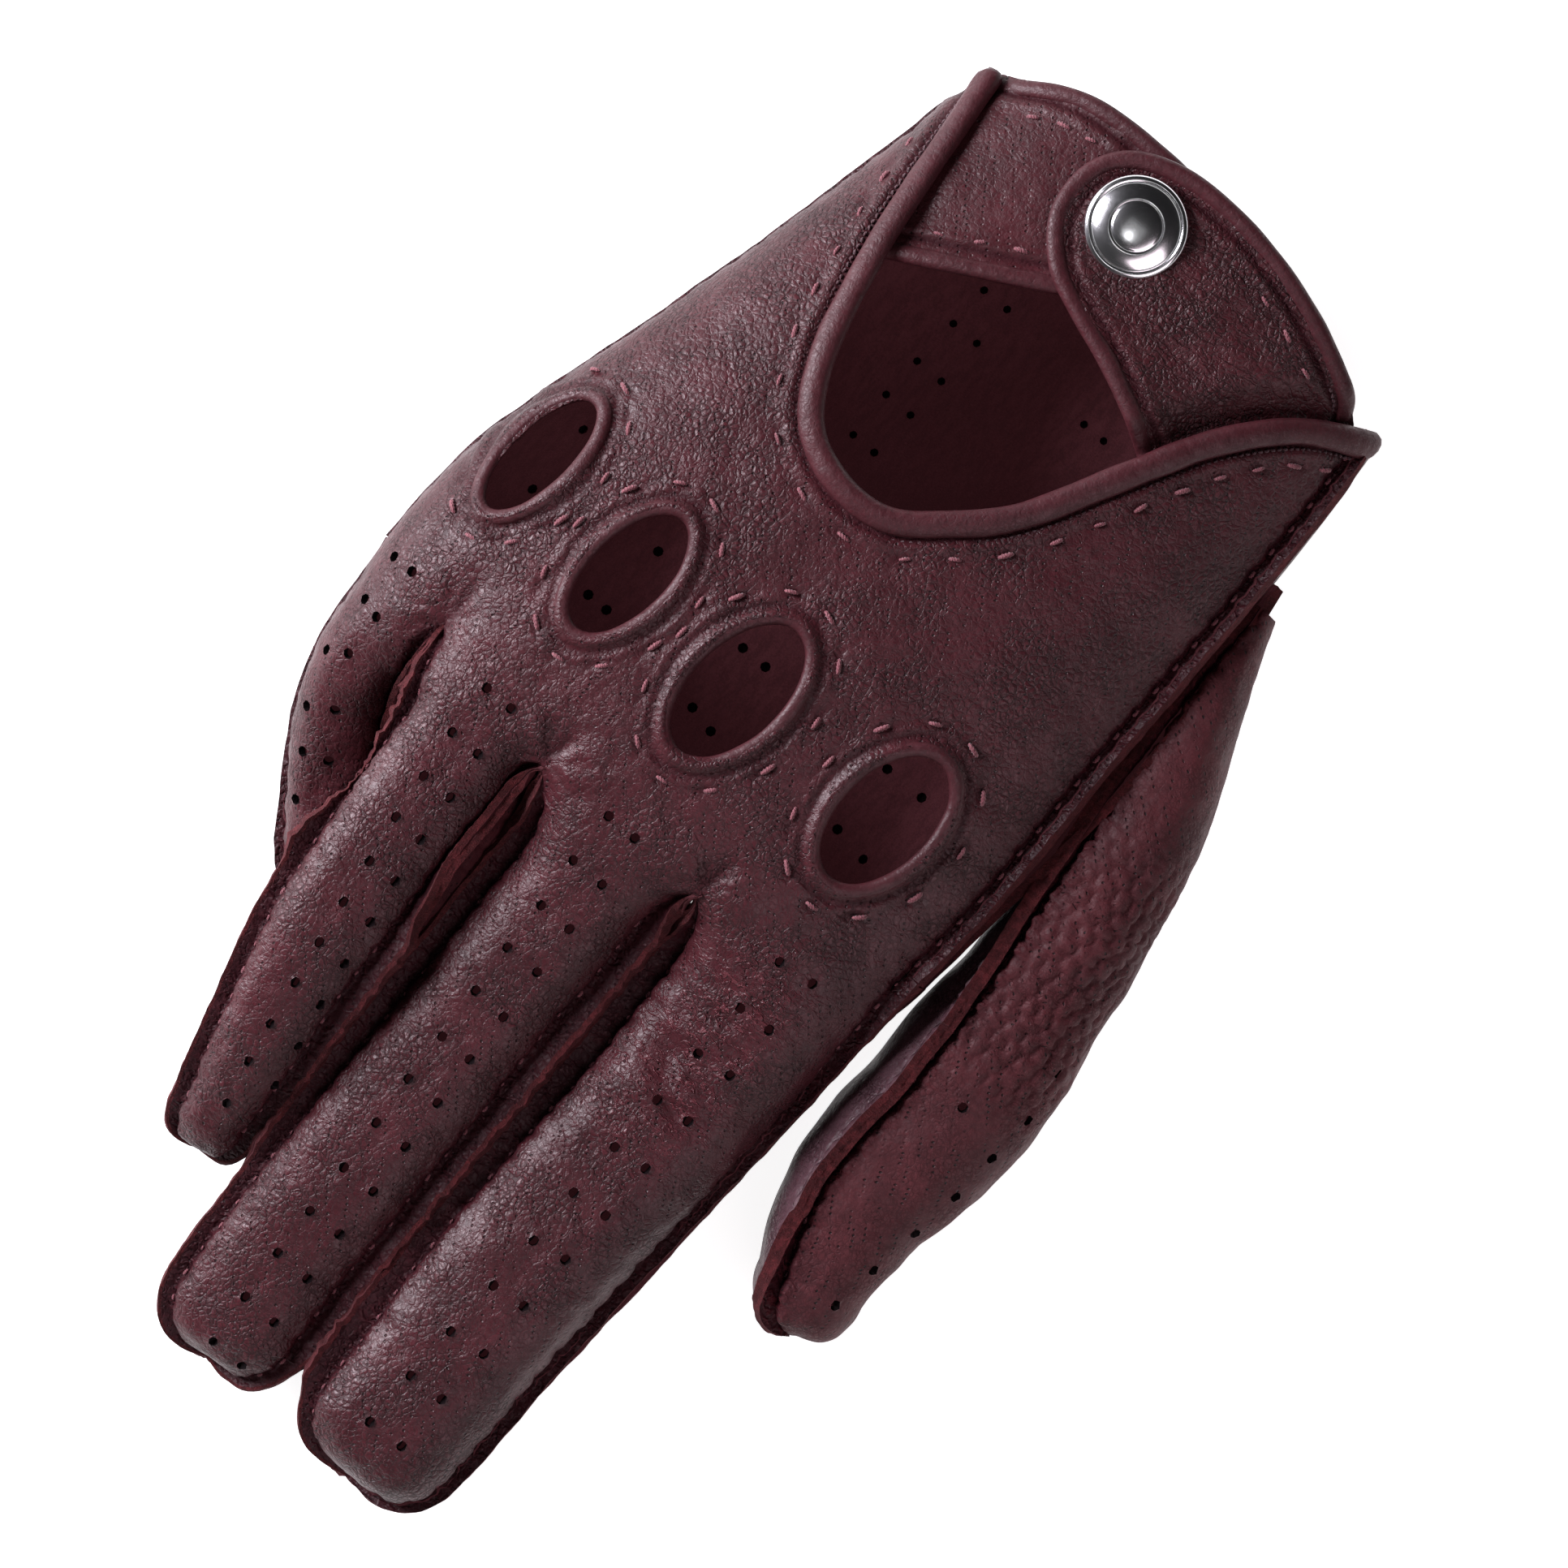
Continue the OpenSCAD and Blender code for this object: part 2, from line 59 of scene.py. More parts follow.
# ---------------------------------------------------------------- shapes shared with the CAD
SQUARE = 2.4
FINGER_SQUARE = 2.9
PITCH, WRIST_PITCH = 4.4, 6.6
THICK = 1.1
RAW_COLS = 4
FINGER_RAW_COLS = 5
UNDER = 2 * THICK + 0.05
GRID_STEP, PALM_STEP = 0.62, 0.95
BACK_END_Y, PALM_END_Y, HEM_Y = -107.4, -103.6, -104.6
INDEX_SIDE_TILT, LITTLE_SIDE_TILT = 26.0, -38.0
TABLE_GAP = 0.05
START_Y = 2.0
HAND_ROWS = np.array([
    [0.6, -118, 16.4, 37.4, 16.4], [1.4, -107, 16.8, 39.6, 16.8], [2.2, -97, 17.4, 40.8, 17.4],
    [3.6, -80, 18.4, 42.8, 18.4], [6, -60, 19.3, 45.4, 19.3], [9, -40, 19.9, 48.2, 19.9],
    [11.6, -20, 20.1, 51.2, 20.1], [12.6, -5, 19.6, 51.8, 19.6], [12.8, 2, 19.2, 51.2, 19.2],
    [12.9, 20, 18.2, 49.4, 18.2], [12.9, 60, 16, 45, 16],
])
FINGER_ROWS = {
    "index": [[-20.6, 3.6, 17.6, 15.9, 17.4], [-20.4, 16, 16.6, 14.6, 15.8], [-20.2, 39, 14.4, 13.8, 13.4],
              [-19, 72, 13.4, 13.3, 12.4], [-18.8, 89, 12.6, 12.6, 11.6], [-19, 101, 11.8, 12.2, 10.8]],
    "middle": [[9.6, 3.4, 19, 12.4, 18.4], [9.7, 16, 18.6, 11.4, 16.4], [9.8, 39, 17, 11.3, 14],
               [9.4, 72, 14.6, 11.4, 12.2], [8.8, 92, 11.8, 11.2, 10.8], [8.2, 102, 10.4, 10.8, 9.6]],
    "ring": [[36, 3.8, 20, 11.6, 18.2], [36, 16, 21.4, 10.6, 14.6], [35.8, 31, 24.2, 9.9, 11.4],
             [34.4, 52, 24.4, 9, 10.4], [31.6, 68, 20.4, 7.4, 9.8], [29.6, 80, 14.8, 6, 9]],
    "little": [[56.2, 4, 14.4, 8, 13.8], [56, 16, 12.4, 7.2, 11.4], [53, 26, 9.6, 6.8, 9.2],
               [46.6, 36.6, 7.2, 6.6, 7], [41.8, 43, 6.6, 6.2, 6.4]],
}
THUMB_ROWS = [[-41.2, -72, 15.4, 2.2, 6.6], [-42, -66, 15, 3.6, 9], [-43.6, -56, 14.6, 5.8, 11.2],
              [-46, -45, 14.5, 8, 12.4], [-47.8, -36, 14.5, 9.4, 12.8], [-49.8, -21, 14.6, 10.4, 13],
              [-51.2, -7, 14, 11.4, 12.6], [-51.8, 5, 13.5, 12.6, 12.2], [-52.2, 15.6, 12.8, 12.8, 11.8],
              [-51.2, 23.6, 12.3, 12.4, 11.4], [-50.7, 31.5, 11.8, 11.2, 10.8],
              [-51.8, 39.6, 11.4, 9.8, 10.2],
              [-53.4, 46, 11, 8.2, 9.4]]
TIP = {"index": 9.4, "middle": 8.6, "ring": 7.8, "little": 6.6, "thumb": 7.6}
HOLES = {"index": (-17.9, -13, 6.8, 11.5), "middle": (10.4, -13.7, 6.8, 12.1),
         "ring": (33.3, -16.5, 5.6, 11), "little": (54.2, -21.5, 4.3, 10.8)}
LEAN = math.radians(-6)
WRIST = np.array([[39.6, -107.0], [38.4, -97], [37.2, -86], [35.6, -75], [32, -60], [26.8, -50.6],
                  [19, -46.6],
                  [10.4, -46.8], [3, -52], [-4.4, -59.8], [-12.2, -74], [-19, -86], [-27.4, -95.4],
                  [-37.6, -101.2]])
STRAP = np.array([[-17, -76], [-12.4, -78.2], [-5, -81.8], [0.8, -84.4], [8, -87], [14.8, -90.4],
                  [19.6, -96.6],
                  [20, -104], [16.4, -109.6], [9, -112.6], [0, -113], [-9.6, -111.6], [-19, -108.8],
                  [-27, -105.2],
                  [-32, -102.2], [-34.6, -98.4], [-31, -91.5], [-24.5, -83.5]])
TAB = np.array([[40.4, -105], [36, -108.6], [27.4, -112.4], [16, -113.2], [6, -111.6], [1.6, -102],
                [5, -93],
                [13, -88.2], [24, -82.4], [34.4, -77.2], [40.6, -75], [42, -90]])
SNAP = np.array([9.4, -102.2])
SOCKET_RADIUS = 4.6
CROTCH = {"index": (-4.1, 12.4), "middle": (25.4, 12.6), "ring": (50.0, 5.4)}
INDEX_SEAM, LITTLE_SEAM = 158.0, -6.0


def smooth(t):
    t = np.clip(t, 0, 1)
    return t * t * (3 - 2 * t)


def gauss(d, s):
    return np.exp(-((d / s) ** 2))


def unit(v):
    return v / np.maximum(np.linalg.norm(v, axis=-1, keepdims=True), 1e-9)


def power(v, square=SQUARE):
    return np.sign(v) * np.abs(v) ** (2 / square)


def spline(table, t):
    """Catmull-Rom through the rows of a table."""
    table = np.asarray(table, float)
    m = len(table) - 1
    f = np.clip(np.asarray(t, float) * m, 0, m - 1e-6)
    k = f.astype(int)
    w = (f - k)[:, None]
    p, q = table[np.maximum(k - 1, 0)], table[k]
    r, s = table[k + 1], table[np.minimum(k + 2, m)]
    return (2 * q + (r - p) * w + (2 * p - 5 * q + 4 * r - s) * w**2 + (3 * q - p - 3 * r + s) * w**3) / 2


def loop(table, t):
    n = len(table)
    wide = np.vstack([table[-3:], table, table[:4]])
    return spline(wide, (np.asarray(t) % 1 * n + 3) / (len(wide) - 1))


def run_of(line):
    """How far along a line each of its points is."""
    return np.r_[0, np.cumsum(np.linalg.norm(np.diff(line, axis=0), axis=1))]


def pick(at, s, line):
    """Points of a line at the distances at, where s is how far along its own points are."""
    return np.stack([np.interp(at, s, line[:, k]) for k in range(line.shape[1])], 1)


def even(points, n=None, step=None, closed=False):
    """Points at even distances along a line."""
    if closed:
        points = np.vstack([points, points[:1]])
    s = run_of(points)
    n = n or max(int(round(s[-1] / step)), 2) + 1
    t = np.linspace(0, s[-1], n + 1)[:-1] if closed else np.linspace(0, s[-1], n)
    return pick(t, s, points)


def noise(p, scale, seed=0):
    """Smooth noise from -1 to 1 at points p, the same on every run."""
    q = np.asarray(p, float) / scale
    i = np.floor(q).astype(np.int64)
    f = q - i
    f = f * f * (3 - 2 * f)
    total = np.zeros(q.shape[:-1])
    for c in range(8):
        d = np.array([c & 1, c >> 1 & 1, c >> 2 & 1])
        j = i + d
        h = (j[..., 0] * 73856093) ^ (j[..., 1] * 19349663) ^ (j[..., 2]
                                                               * 83492791) ^ (seed * 961748927 + 12345)
        h = ((h ^ (h >> 13)) * 1274126177) & 0xFFFFFFFF
        h = ((h ^ (h >> 16)) * 2246822519) & 0xFFFFFFFF
        total += (h / 2147483648.0 - 1) * np.prod(np.where(d, f, 1 - f), axis=-1)
    return total


# ---------------------------------------------------------------- the hand's section
GRID_Y = np.arange(-130, 70.1, 0.5)
KERNEL = gauss(np.arange(-14, 15) * 0.5, 4.0)
KERNEL /= KERNEL.sum()
HAND = [np.convolve(np.pad(np.interp(GRID_Y, HAND_ROWS[:, 1], HAND_ROWS[:, k]), 14, mode="edge"), KERNEL,
                    "valid")
        for k in (0, 2, 3, 4)]


def hand(y):
    return [np.interp(y, GRID_Y, c) for c in HAND]


def top_z(x, y):
    xc, zc, a, b = hand(y)
    r = np.minimum(np.abs(x - xc) / a, 0.999)
    return zc + b * (1 - r**SQUARE) ** (1 / SQUARE)


def on_top(xy, lift=0.0):
    xy = np.asarray(xy, float)
    return np.stack([xy[..., 0], xy[..., 1], top_z(xy[..., 0], xy[..., 1]) + lift], -1)


def top_normal(xy):
    x, y = xy[..., 0], xy[..., 1]
    dx = (top_z(x + 0.3, y) - top_z(x - 0.3, y)) / 0.6
    dy = (top_z(x, y + 0.3) - top_z(x, y - 0.3)) / 0.6
    return unit(np.stack([-dx, -dy, np.ones_like(dx)], -1))


def hand_arc(y, top, left, right, n):
    """n even points across the hand at y, over the back or under the palm, between two x or side seams."""
    xc, zc, a, b = hand(y)
    g = np.radians(np.linspace(INDEX_SEAM, LITTLE_SEAM if top else 360 + LITTLE_SEAM, 600))
    s = np.sin(g)
    x = xc + a * power(np.cos(g))
    z = zc + np.where(s > 0, b, b + 3) * power(s)
    z = z if top else np.maximum(z, 0.05)
    length = np.r_[0, np.cumsum(np.hypot(np.diff(x), np.diff(z)))]
    rising = (g > 0) if top else (g > math.pi * 1.01)
    lo = 0 if left is None else np.interp(left, x[rising], length[rising])
    hi = length[-1] if right is None else np.interp(right, x[rising], length[rising])
    t = np.linspace(lo, hi, n)
    return np.stack([np.interp(t, length, x), np.full(n, y), np.interp(t, length, z)], 1)


def oval(hole, grow, t):
    cx, cy, hw, hl = hole
    u, v = (hw + grow) * np.cos(t), (hl + grow) * np.sin(t)
    return np.stack([cx + u * math.cos(LEAN) - v * math.sin(LEAN),
                     cy + u * math.sin(LEAN) + v * math.cos(LEAN)], -1)


def hole_distance(hole, x, y):
    """Distance outside a hole's edge, and the angle round it."""
    cx, cy, hw, hl = hole
    dx, dy = x - cx, y - cy
    lx = dx * math.cos(LEAN) + dy * math.sin(LEAN)
    ly = -dx * math.sin(LEAN) + dy * math.cos(LEAN)
    q = np.sqrt((lx / hw) ** 2 + (ly / hl) ** 2) + 1e-6
    return np.hypot(lx, ly) * (1 - 1 / q), np.arctan2(ly / hl, lx / hw)


def line_distance(x, y, line):
    """Distance from each point to a line's points, and how far along the line that is."""
    flat = np.stack([x.ravel(), y.ravel()], 1)
    best, where = np.full(len(flat), 1e9), np.zeros(len(flat))
    s = run_of(line)
    for k in range(0, len(flat), 20000):
        d = np.linalg.norm(flat[k:k + 20000, None] - line[None], axis=2)
        j = d.argmin(1)
        best[k:k + 20000], where[k:k + 20000] = d[np.arange(len(j)), j], s[j]
    return best.reshape(x.shape), where.reshape(x.shape)


def inside(x, y, line):
    """True where a point is inside a closed outline."""
    hit = np.zeros(x.shape, bool)
    a, b = line, np.roll(line, -1, axis=0)
    for (x0, y0), (x1, y1) in zip(a, b):
        if y0 != y1:
            cross = ((y0 > y) != (y1 > y)) & (x < (x1 - x0) * (y - y0) / (y1 - y0) + x0)
            hit ^= cross
    return hit


WRIST_LINE = even(spline(WRIST, np.linspace(0, 1, 400)), step=0.5)
OPENING = np.vstack([[[44, -130]], WRIST_LINE, [[-62, -102], [-62, -130]]])
STRAP_LOOP = even(loop(STRAP, np.linspace(0, 1, 400, endpoint=False)), step=0.5, closed=True)
TAB_LOOP = even(loop(TAB, np.linspace(0, 1, 400, endpoint=False)), step=0.5, closed=True)


def stitch_pulse(s, sharp=3):
    return (0.5 + 0.5 * np.cos(2 * math.pi * s / PITCH)) ** sharp


def top_relief(p):
    """Height of the leather's own relief over the smooth back, and the shade painted into its grooves, stitch
    dimples and crotch valleys.
    """
    x, y = p[..., 0], p[..., 1]
    h = 0.4 * noise(p, 15, 1) + 0.2 * noise(p, 6.5, 2) + 0.1 * noise(p, 3.1, 3)
    dark = np.zeros_like(x)
    near = y < 14
    if near.any():
        for hole in HOLES.values():
            d, t = hole_distance(hole, x, y)
            d = np.where(near, d, 99)
            pulse = (0.5 + 0.5 * np.cos(11 * t)) ** 2
            h += 1.0 * gauss(d - 1.3, 1.0) - 0.35 * gauss(d - 3.1, 0.7) + 0.3 * gauss(d - 4.0, 0.7)
            h -= 0.45 * gauss(d - 4.9, 0.8) * pulse
            # painted shade in the groove round the knuckle binding and in the stitch dimples
            dark += 0.35 * gauss(d - 3.1, 0.6) + 0.4 * gauss(d - 4.9, 0.7) * pulse
        for cx, cy in CROTCH.values():
            reach = smooth((y - cy + 15) / 15) * (1 - smooth((y - cy - 2) / 10))
            h -= 1.9 * reach**2 * gauss(x - cx, 3.0)
            # painted shade down the crotch valley
            dark += 0.5 * reach**3 * gauss(x - cx, 1.2)
            swirl = np.arctan2(y - cy, x - cx)
            r = np.hypot(x - cx, y - cy)
            h += 0.22 * np.cos(swirl * 9 + noise(p, 4, 9) * 2) * gauss(r - 3.5, 3.2)
    if (y < -40).any():
        d, s = line_distance(x, y, WRIST_LINE)
        d = np.where(y < -40, d, 99)
        pulse = stitch_pulse(s * PITCH / WRIST_PITCH, 2)
        h += 0.28 * gauss(d - 3.9, 0.8) - 0.5 * gauss(d - 2.75, 0.45) - 0.25 * gauss(d - 5.6, 0.8) * pulse
        # painted shade in the groove beside the wrist binding and in the stitch dimples
        dark += 0.8 * gauss(d - 2.75, 0.4) + 0.3 * gauss(d - 5.6, 0.6) * pulse
    return h, dark


def seam_relief(d, s, deep=1.0):
    """The valley and puckers that a hand-sewn seam draws into the leather beside it, and the shade painted
    into that valley.
    """
    pulse = stitch_pulse(s)
    h = -0.55 * gauss(d, 1.1) - 0.42 * np.exp(-d / 1.8) * pulse + 0.2 * gauss(d - 2.0, 0.9) * (1 - pulse)
    h += 0.12 * np.cos(2 * math.pi * s / 1.9 + d + np.sin(s * 0.7)) * np.exp(-d / 2.4)
    # the second value is painted shade, deepest at each stitch
    return h * deep, 0.6 * gauss(d, 0.8) * (0.45 + 0.55 * pulse) + 0.15 * np.exp(-d / 1.8) * pulse


def even_out(line, reach=4.4):
    """A line without its puckers."""
    k = np.arange(-9, 10)
    w = gauss(k, reach)
    w /= w.sum()
    wide = np.vstack([2 * line[0] - line[9:0:-1], line, 2 * line[-1] - line[-2:-11:-1]])
    return np.stack([np.convolve(wide[:, c], w, "valid") for c in range(line.shape[1])], 1)


# ---------------------------------------------------------------- strips of leather along a finger
def track(rows, tip, step):
    """Stations along a finger: centre, half width, half height. The last ones round off the tip."""
    rows = np.array(rows, float)
    pre = np.arange(START_Y, rows[0, 1] - 0.2, step)
    pre = np.array([[rows[0, 0], y, *rows[0, 2:]] for y in pre]).reshape(-1, 5)
    body = spline(rows, np.linspace(0, 1, 900))
    s = run_of(body[:, :3])
    n = int(round(s[-1] / step))
    t = np.linspace(0, s[-1], n + 1)
    body = pick(t, s, body)
    end, go = body[-1], unit(body[-1, :3] - body[-2, :3])
    a = np.radians(np.linspace(0, 90, 900))
    f = np.maximum(np.cos(a) ** 0.55, 0.02)
    out = even(np.stack([end[3] * f, tip * np.sin(a)], 1), step=step)
    f = out[1:, 0] / end[3]
    cap = np.stack([*(end[k] + go[k] * out[1:, 1] for k in range(3)), end[3] * f, end[4] * f], 1)
    return np.vstack([pre, body, cap])


def strip(rows, tip, angles, n, step=0.65, dome=None, square=SQUARE):
    """Grid of points over a finger between two section angles.

    With dome=(top, left, right, left crotch, right crotch) it grows out of the hand.
    """
    st = track(rows, tip, step)
    go = unit(np.gradient(st[:, :3], axis=0))
    go[: np.argmax(st[:, 1] > rows[0][1])] = [0, 1, 0]
    side = unit(np.cross(go, Z))
    up = np.cross(side, go)
    u = np.linspace(0, 1, n)
    grid = []
    for k, (x, y, z, a, b) in enumerate(st):
        g = np.radians(np.linspace(*(angles(y) if callable(angles) else angles), 260))
        cx, cz = power(np.cos(g), square), power(np.sin(g), square)
        ring = np.array([x, y, z]) + side[k] * (a * cx)[:, None] + up[k] * (b * cz)[:, None]
        p = even(ring, n=n)
        if dome and y < 40 and go[k, 1] > 0.3:
            top, left, right, lc, rc = dome
            near_l, near_r = np.clip(1 - 2 * u, 0, 1) ** 1.5, np.clip(2 * u - 1, 0, 1) ** 1.5
            s = START_Y + (lc - START_Y) * near_l * (lc > 0) + (rc - START_Y) * near_r * (rc > 0)
            e = 27 - 7.0 * (near_l * (lc > 0) + near_r * (rc > 0))
            m = smooth((y - s) / (e - s))[:, None]
            p = hand_arc(y, top, left, right, n) * (1 - m) + p * m
        grid.append(p)
    return np.array(grid), st


def normals(p):
    dv, du = np.gradient(p, axis=0), np.gradient(p, axis=1)
    return unit(np.cross(du, dv))


def seam_length(line):
    return run_of(line) + START_Y


def seam_distance(p):
    """Distance across the leather from the left and right edge of each row."""
    d = np.linalg.norm(np.diff(p, axis=1), axis=2)
    s = np.concatenate([np.zeros((len(p), 1)), np.cumsum(d, axis=1)], 1)
    return s, s[:, -1:] - s


def outward(line, sign):
    """Level direction out of a seam line: sign -1 for the left side of a finger and 1 for the right."""
    t = unit(np.gradient(line, axis=0))
    o = np.stack([t[:, 1] * sign, -t[:, 0] * sign, np.zeros(len(t))], 1)
    for _ in range(3):
        o = unit(o)
        o[1:-1] = (o[:-2] + o[1:-1] * 2 + o[2:]) / 4
    return t, unit(o)


def flange(line, sign, width, tilt, cols, under=0.0, seed=5):
    """Columns of a raw seam edge that stands out from a seam line, from the seam outwards.

    under moves it below the first layer.
    """
    base = even_out(line)
    t, o = outward(base, sign)
    tilt = np.radians(tilt)[:, None]
    d = o * np.cos(tilt) + Z * np.sin(tilt)
    d = unit(d - t * (d * t).sum(1, keepdims=True))
    down = np.cross(t, d) * sign
    down = np.where(down[:, 2:] > 0, -down, down)
    down = np.where(np.abs(down[:, 2:]) < 1e-6, d * 0, down)
    s = seam_length(base)
    at = np.stack([s, s * 0, s * 0], 1)
    under = np.broadcast_to(under, s.shape)[:, None]
    rough = 1 + 0.045 * noise(at, 1.7, seed) + 0.05 * noise(at + 3, 5, seed + 1)
    pulse = stitch_pulse(s, 2)
    out = []
    for k in range(1, cols + 1):
        w = k / cols
        lift = (0.14 * np.cos(2 * math.pi * s / 1.9 + np.sin(s * 0.7)) - 0.2 * pulse) * (1 - w)
        wave = 0.16 * w * noise(at, 6, seed + 2)
        out.append(line * (1 - w) + base * w + d * (width * w * rough)[:, None] - down
                   * (lift + wave)[:, None] + down * under)
    return np.stack(out, 1), down


def with_vents(p, keep, spots, radius=0.86, low=None, sink=0.2):
    """Cuts real round holes: the nearest grid corner goes and the eight round it move onto a circle.

    low leaves out what is below it.
    """
    vent = np.zeros(p.shape[:2], bool)
    for cx, cy in spots:
        d = np.hypot(p[..., 0] - cx, p[..., 1] - cy)
        if low is not None:
            d = np.where(p[..., 2] < low[:, None], 99, d)
        d[:2] = d[-2:] = 99
        d[:, :2] = 99
        d[:, -2:] = 99
        r, c = np.unravel_index(d.argmin(), d.shape)
        if d[r, c] > 1.6:
            continue
        o = p[r, c].copy()
        o[:2] += (np.array([cx, cy]) - o[:2]) * 0.5
        o[2] -= sink
        for i, j in ((-1, -1), (-1, 0), (-1, 1), (0, 1), (1, 1), (1, 0), (1, -1), (0, -1)):
            v = p[r + i, c + j] - o
            v = v / max(np.linalg.norm(v), 1e-6)
            p[r + i, c + j] = o + v * radius
            vent[r + i, c + j] = True
        keep[r - 1:r + 1, c - 1:c + 1] = False
    return p, keep, vent


def pad(a, left, right, cols):
    """A grid of values with cols columns of one value added at each side."""
    rows = len(a)
    return np.concatenate([np.full((rows, cols), left), a, np.full((rows, cols), right)], 1)


def widen(keep, cols):
    """A grid of cells with its outer columns repeated cols times."""
    return np.concatenate([np.repeat(keep[:, :1], cols, 1), keep, np.repeat(keep[:, -1:], cols, 1)], 1)


def folded_edge(a):
    """Marks the right-hand column of a grid, whose rim lies folded under and is painted near-black as shade.
    """
    folded = np.zeros(a.shape, bool)
    folded[:, -1] = True
    return folded


# ---------------------------------------------------------------- meshes
def add_mesh(name, verts, faces, mats, mat_index=None, attrs=None, smooth_shade=True):
    mesh = bpy.data.meshes.new(name)
    mesh.from_pydata((np.asarray(verts) * MM).tolist(), [], faces.tolist() if isinstance(faces, np.ndarray)
                     else faces)
    for m in mats:
        mesh.materials.append(m)
    if mat_index is not None:
        mesh.polygons.foreach_set("material_index", np.asarray(mat_index, np.int32))
    mesh.polygons.foreach_set("use_smooth", np.full(len(mesh.polygons), smooth_shade))
    a = mesh.attributes.new("rest", "FLOAT_VECTOR", "POINT")
    a.data.foreach_set("vector", np.asarray(verts, np.float32).ravel())
    for key, value in (attrs or {}).items():
        value = np.asarray(value, np.float32)
        a = mesh.attributes.new(key, "FLOAT_VECTOR" if value.ndim > 1 else "FLOAT", "POINT")
        a.data.foreach_set("vector" if value.ndim > 1 else "value", value.ravel())
    mesh.validate()
    mesh.update()
    obj = bpy.data.objects.new(name, mesh)
    bpy.context.scene.collection.objects.link(obj)
    return obj


def plain_mesh(name, verts, faces, mats, mat_index=None):
    """A mesh without creases, whose grain follows its own shape."""
    return add_mesh(name, verts, faces, mats, mat_index, {"flat": verts, "painted_shade": np.zeros(len(verts))})


def vertex_normals(verts, faces):
    a, b, c, d = (verts[faces[:, k]] for k in range(4))
    n = np.cross(c - a, d - b)
    out = np.zeros_like(verts)
    for k in range(4):
        np.add.at(out, faces[:, k], n)
    return unit(out)


def add_grid(name, p, mats, keep=None, dark=None, flip=False, thick=THICK, flat=None, open_at=None,
             vent=None, seam=None, fold=None, raw=None):
    """One panel of leather from a grid of points: its grain side, its inner side and its cut edges.

    No cut edge is made where open_at(points) is true.
    """
    rows, cols = p.shape[:2]
    i = np.arange(rows * cols).reshape(rows, cols)
    q = np.stack([i[:-1, :-1], i[:-1, 1:], i[1:, 1:], i[1:, :-1]], -1)
    if flip:
        q = q[..., ::-1]
    keep = np.ones(q.shape[:2], bool) if keep is None else keep
    a, b, c, d = p[:-1, :-1], p[:-1, 1:], p[1:, 1:], p[1:, :-1]
    area = np.linalg.norm(np.cross(c - a, d - b), axis=2)
    keep = keep & (area > 1e-3)
    faces = q[keep]
    skin = np.zeros(len(faces)) if raw is None else np.where(raw[keep], 2, 0)
    used, inverse = np.unique(faces, return_inverse=True)
    faces = inverse.reshape(-1, 4)
    verts = p.reshape(-1, 3)[used]
    dark = (np.zeros((rows, cols)) if dark is None else dark).reshape(-1)[used]
    if flat is None:
        d = seam_distance(p)[0]
        flat = np.stack([d, p[..., 1], 0 * d], -1)
    flat = flat.reshape(-1, 3)[used]
    n = vertex_normals(verts, faces)
    inner = verts - n * np.broadcast_to(thick, (rows, cols)).reshape(-1)[used][:, None]
    m = len(verts)
    edges = np.concatenate([faces[:, [k, (k + 1) % 4]] for k in range(4)])
    key = np.sort(edges, 1)
    _, first, count = np.unique(key[:, 0] * m + key[:, 1], return_index=True, return_counts=True)
    rim = edges[first[count == 1]]
    if open_at is not None:
        rim = rim[~(open_at(verts[rim[:, 0]]) & open_at(verts[rim[:, 1]]))]
    r, s = rim[:, 0], rim[:, 1]
    nr = len(rim)
    rv = np.concatenate([verts[r], verts[s], inner[s], inner[r]])
    k = np.arange(nr) + 2 * m
    rim_faces = np.stack([k + nr, k, k + 3 * nr, k + 2 * nr], 1)
    allv = np.concatenate([verts, inner, rv])
    allf = np.concatenate([faces, faces[:, ::-1] + m, rim_faces])
    rim_mat = np.full(nr, 2)
    # the walls of vent holes and folded rims get the near-black painted shade
    if vent is not None:
        hole = vent.reshape(-1)[used]
        rim_mat[hole[r] & hole[s]] = 3
    mi = np.r_[skin, np.ones(len(faces)), rim_mat]
    idx = np.r_[np.arange(m), np.arange(m), r, s, s, r]
    # the dark values go on as a per-point attribute of painted shade
    attrs = {"painted_shade": dark[idx], "flat": flat[idx]}
    for key, value in (("seam", seam), ("fold", fold)):
        if value is not None:
            attrs[key] = np.asarray(value, float).reshape(-1)[used][idx]
    return add_mesh(name, allv, allf, [*mats, DARK], mi, attrs)


def sweep(line, profile, lateral, normal):
    """Rings of a profile of (across, up) pairs along a line."""
    prof = np.asarray(profile, float)
    if prof.ndim == 2:
        prof = np.broadcast_to(prof, (len(line), *prof.shape))
    return line[:, None] + lateral[:, None] * prof[..., :1] + normal[:, None] * prof[..., 1:]


def rings_mesh(rings, closed=False):
    """Faces of a tube made of rings, with its ends filled unless it is closed."""
    m, n = rings.shape[:2]
    i = np.arange(m * n).reshape(m, n)
    nxt = np.roll(i, -1, axis=1)
    last = m if closed else m - 1
    j = np.roll(i, -1, axis=0)
    jn = np.roll(nxt, -1, axis=0)
    faces = np.stack([i[:last], nxt[:last], jn[:last], j[:last]], -1).reshape(-1, 4).tolist()
    if not closed:
        faces += [i[0][::-1].tolist(), i[-1].tolist()]
    return rings.reshape(-1, 3), faces


class Bundle:
    """Many small solids joined into one piece."""

    def __init__(self):
        self.verts, self.faces, self.mats, self.n = [], [], [], 0

    def add(self, verts, faces, mat=0):
        self.verts.append(np.asarray(verts))
        self.faces += [[k + self.n for k in f] for f in faces]
        self.mats += [mat] * len(faces)
        self.n += len(verts)

    def make(self, name, mats):
        return plain_mesh(name, np.vstack(self.verts), self.faces, mats, self.mats)


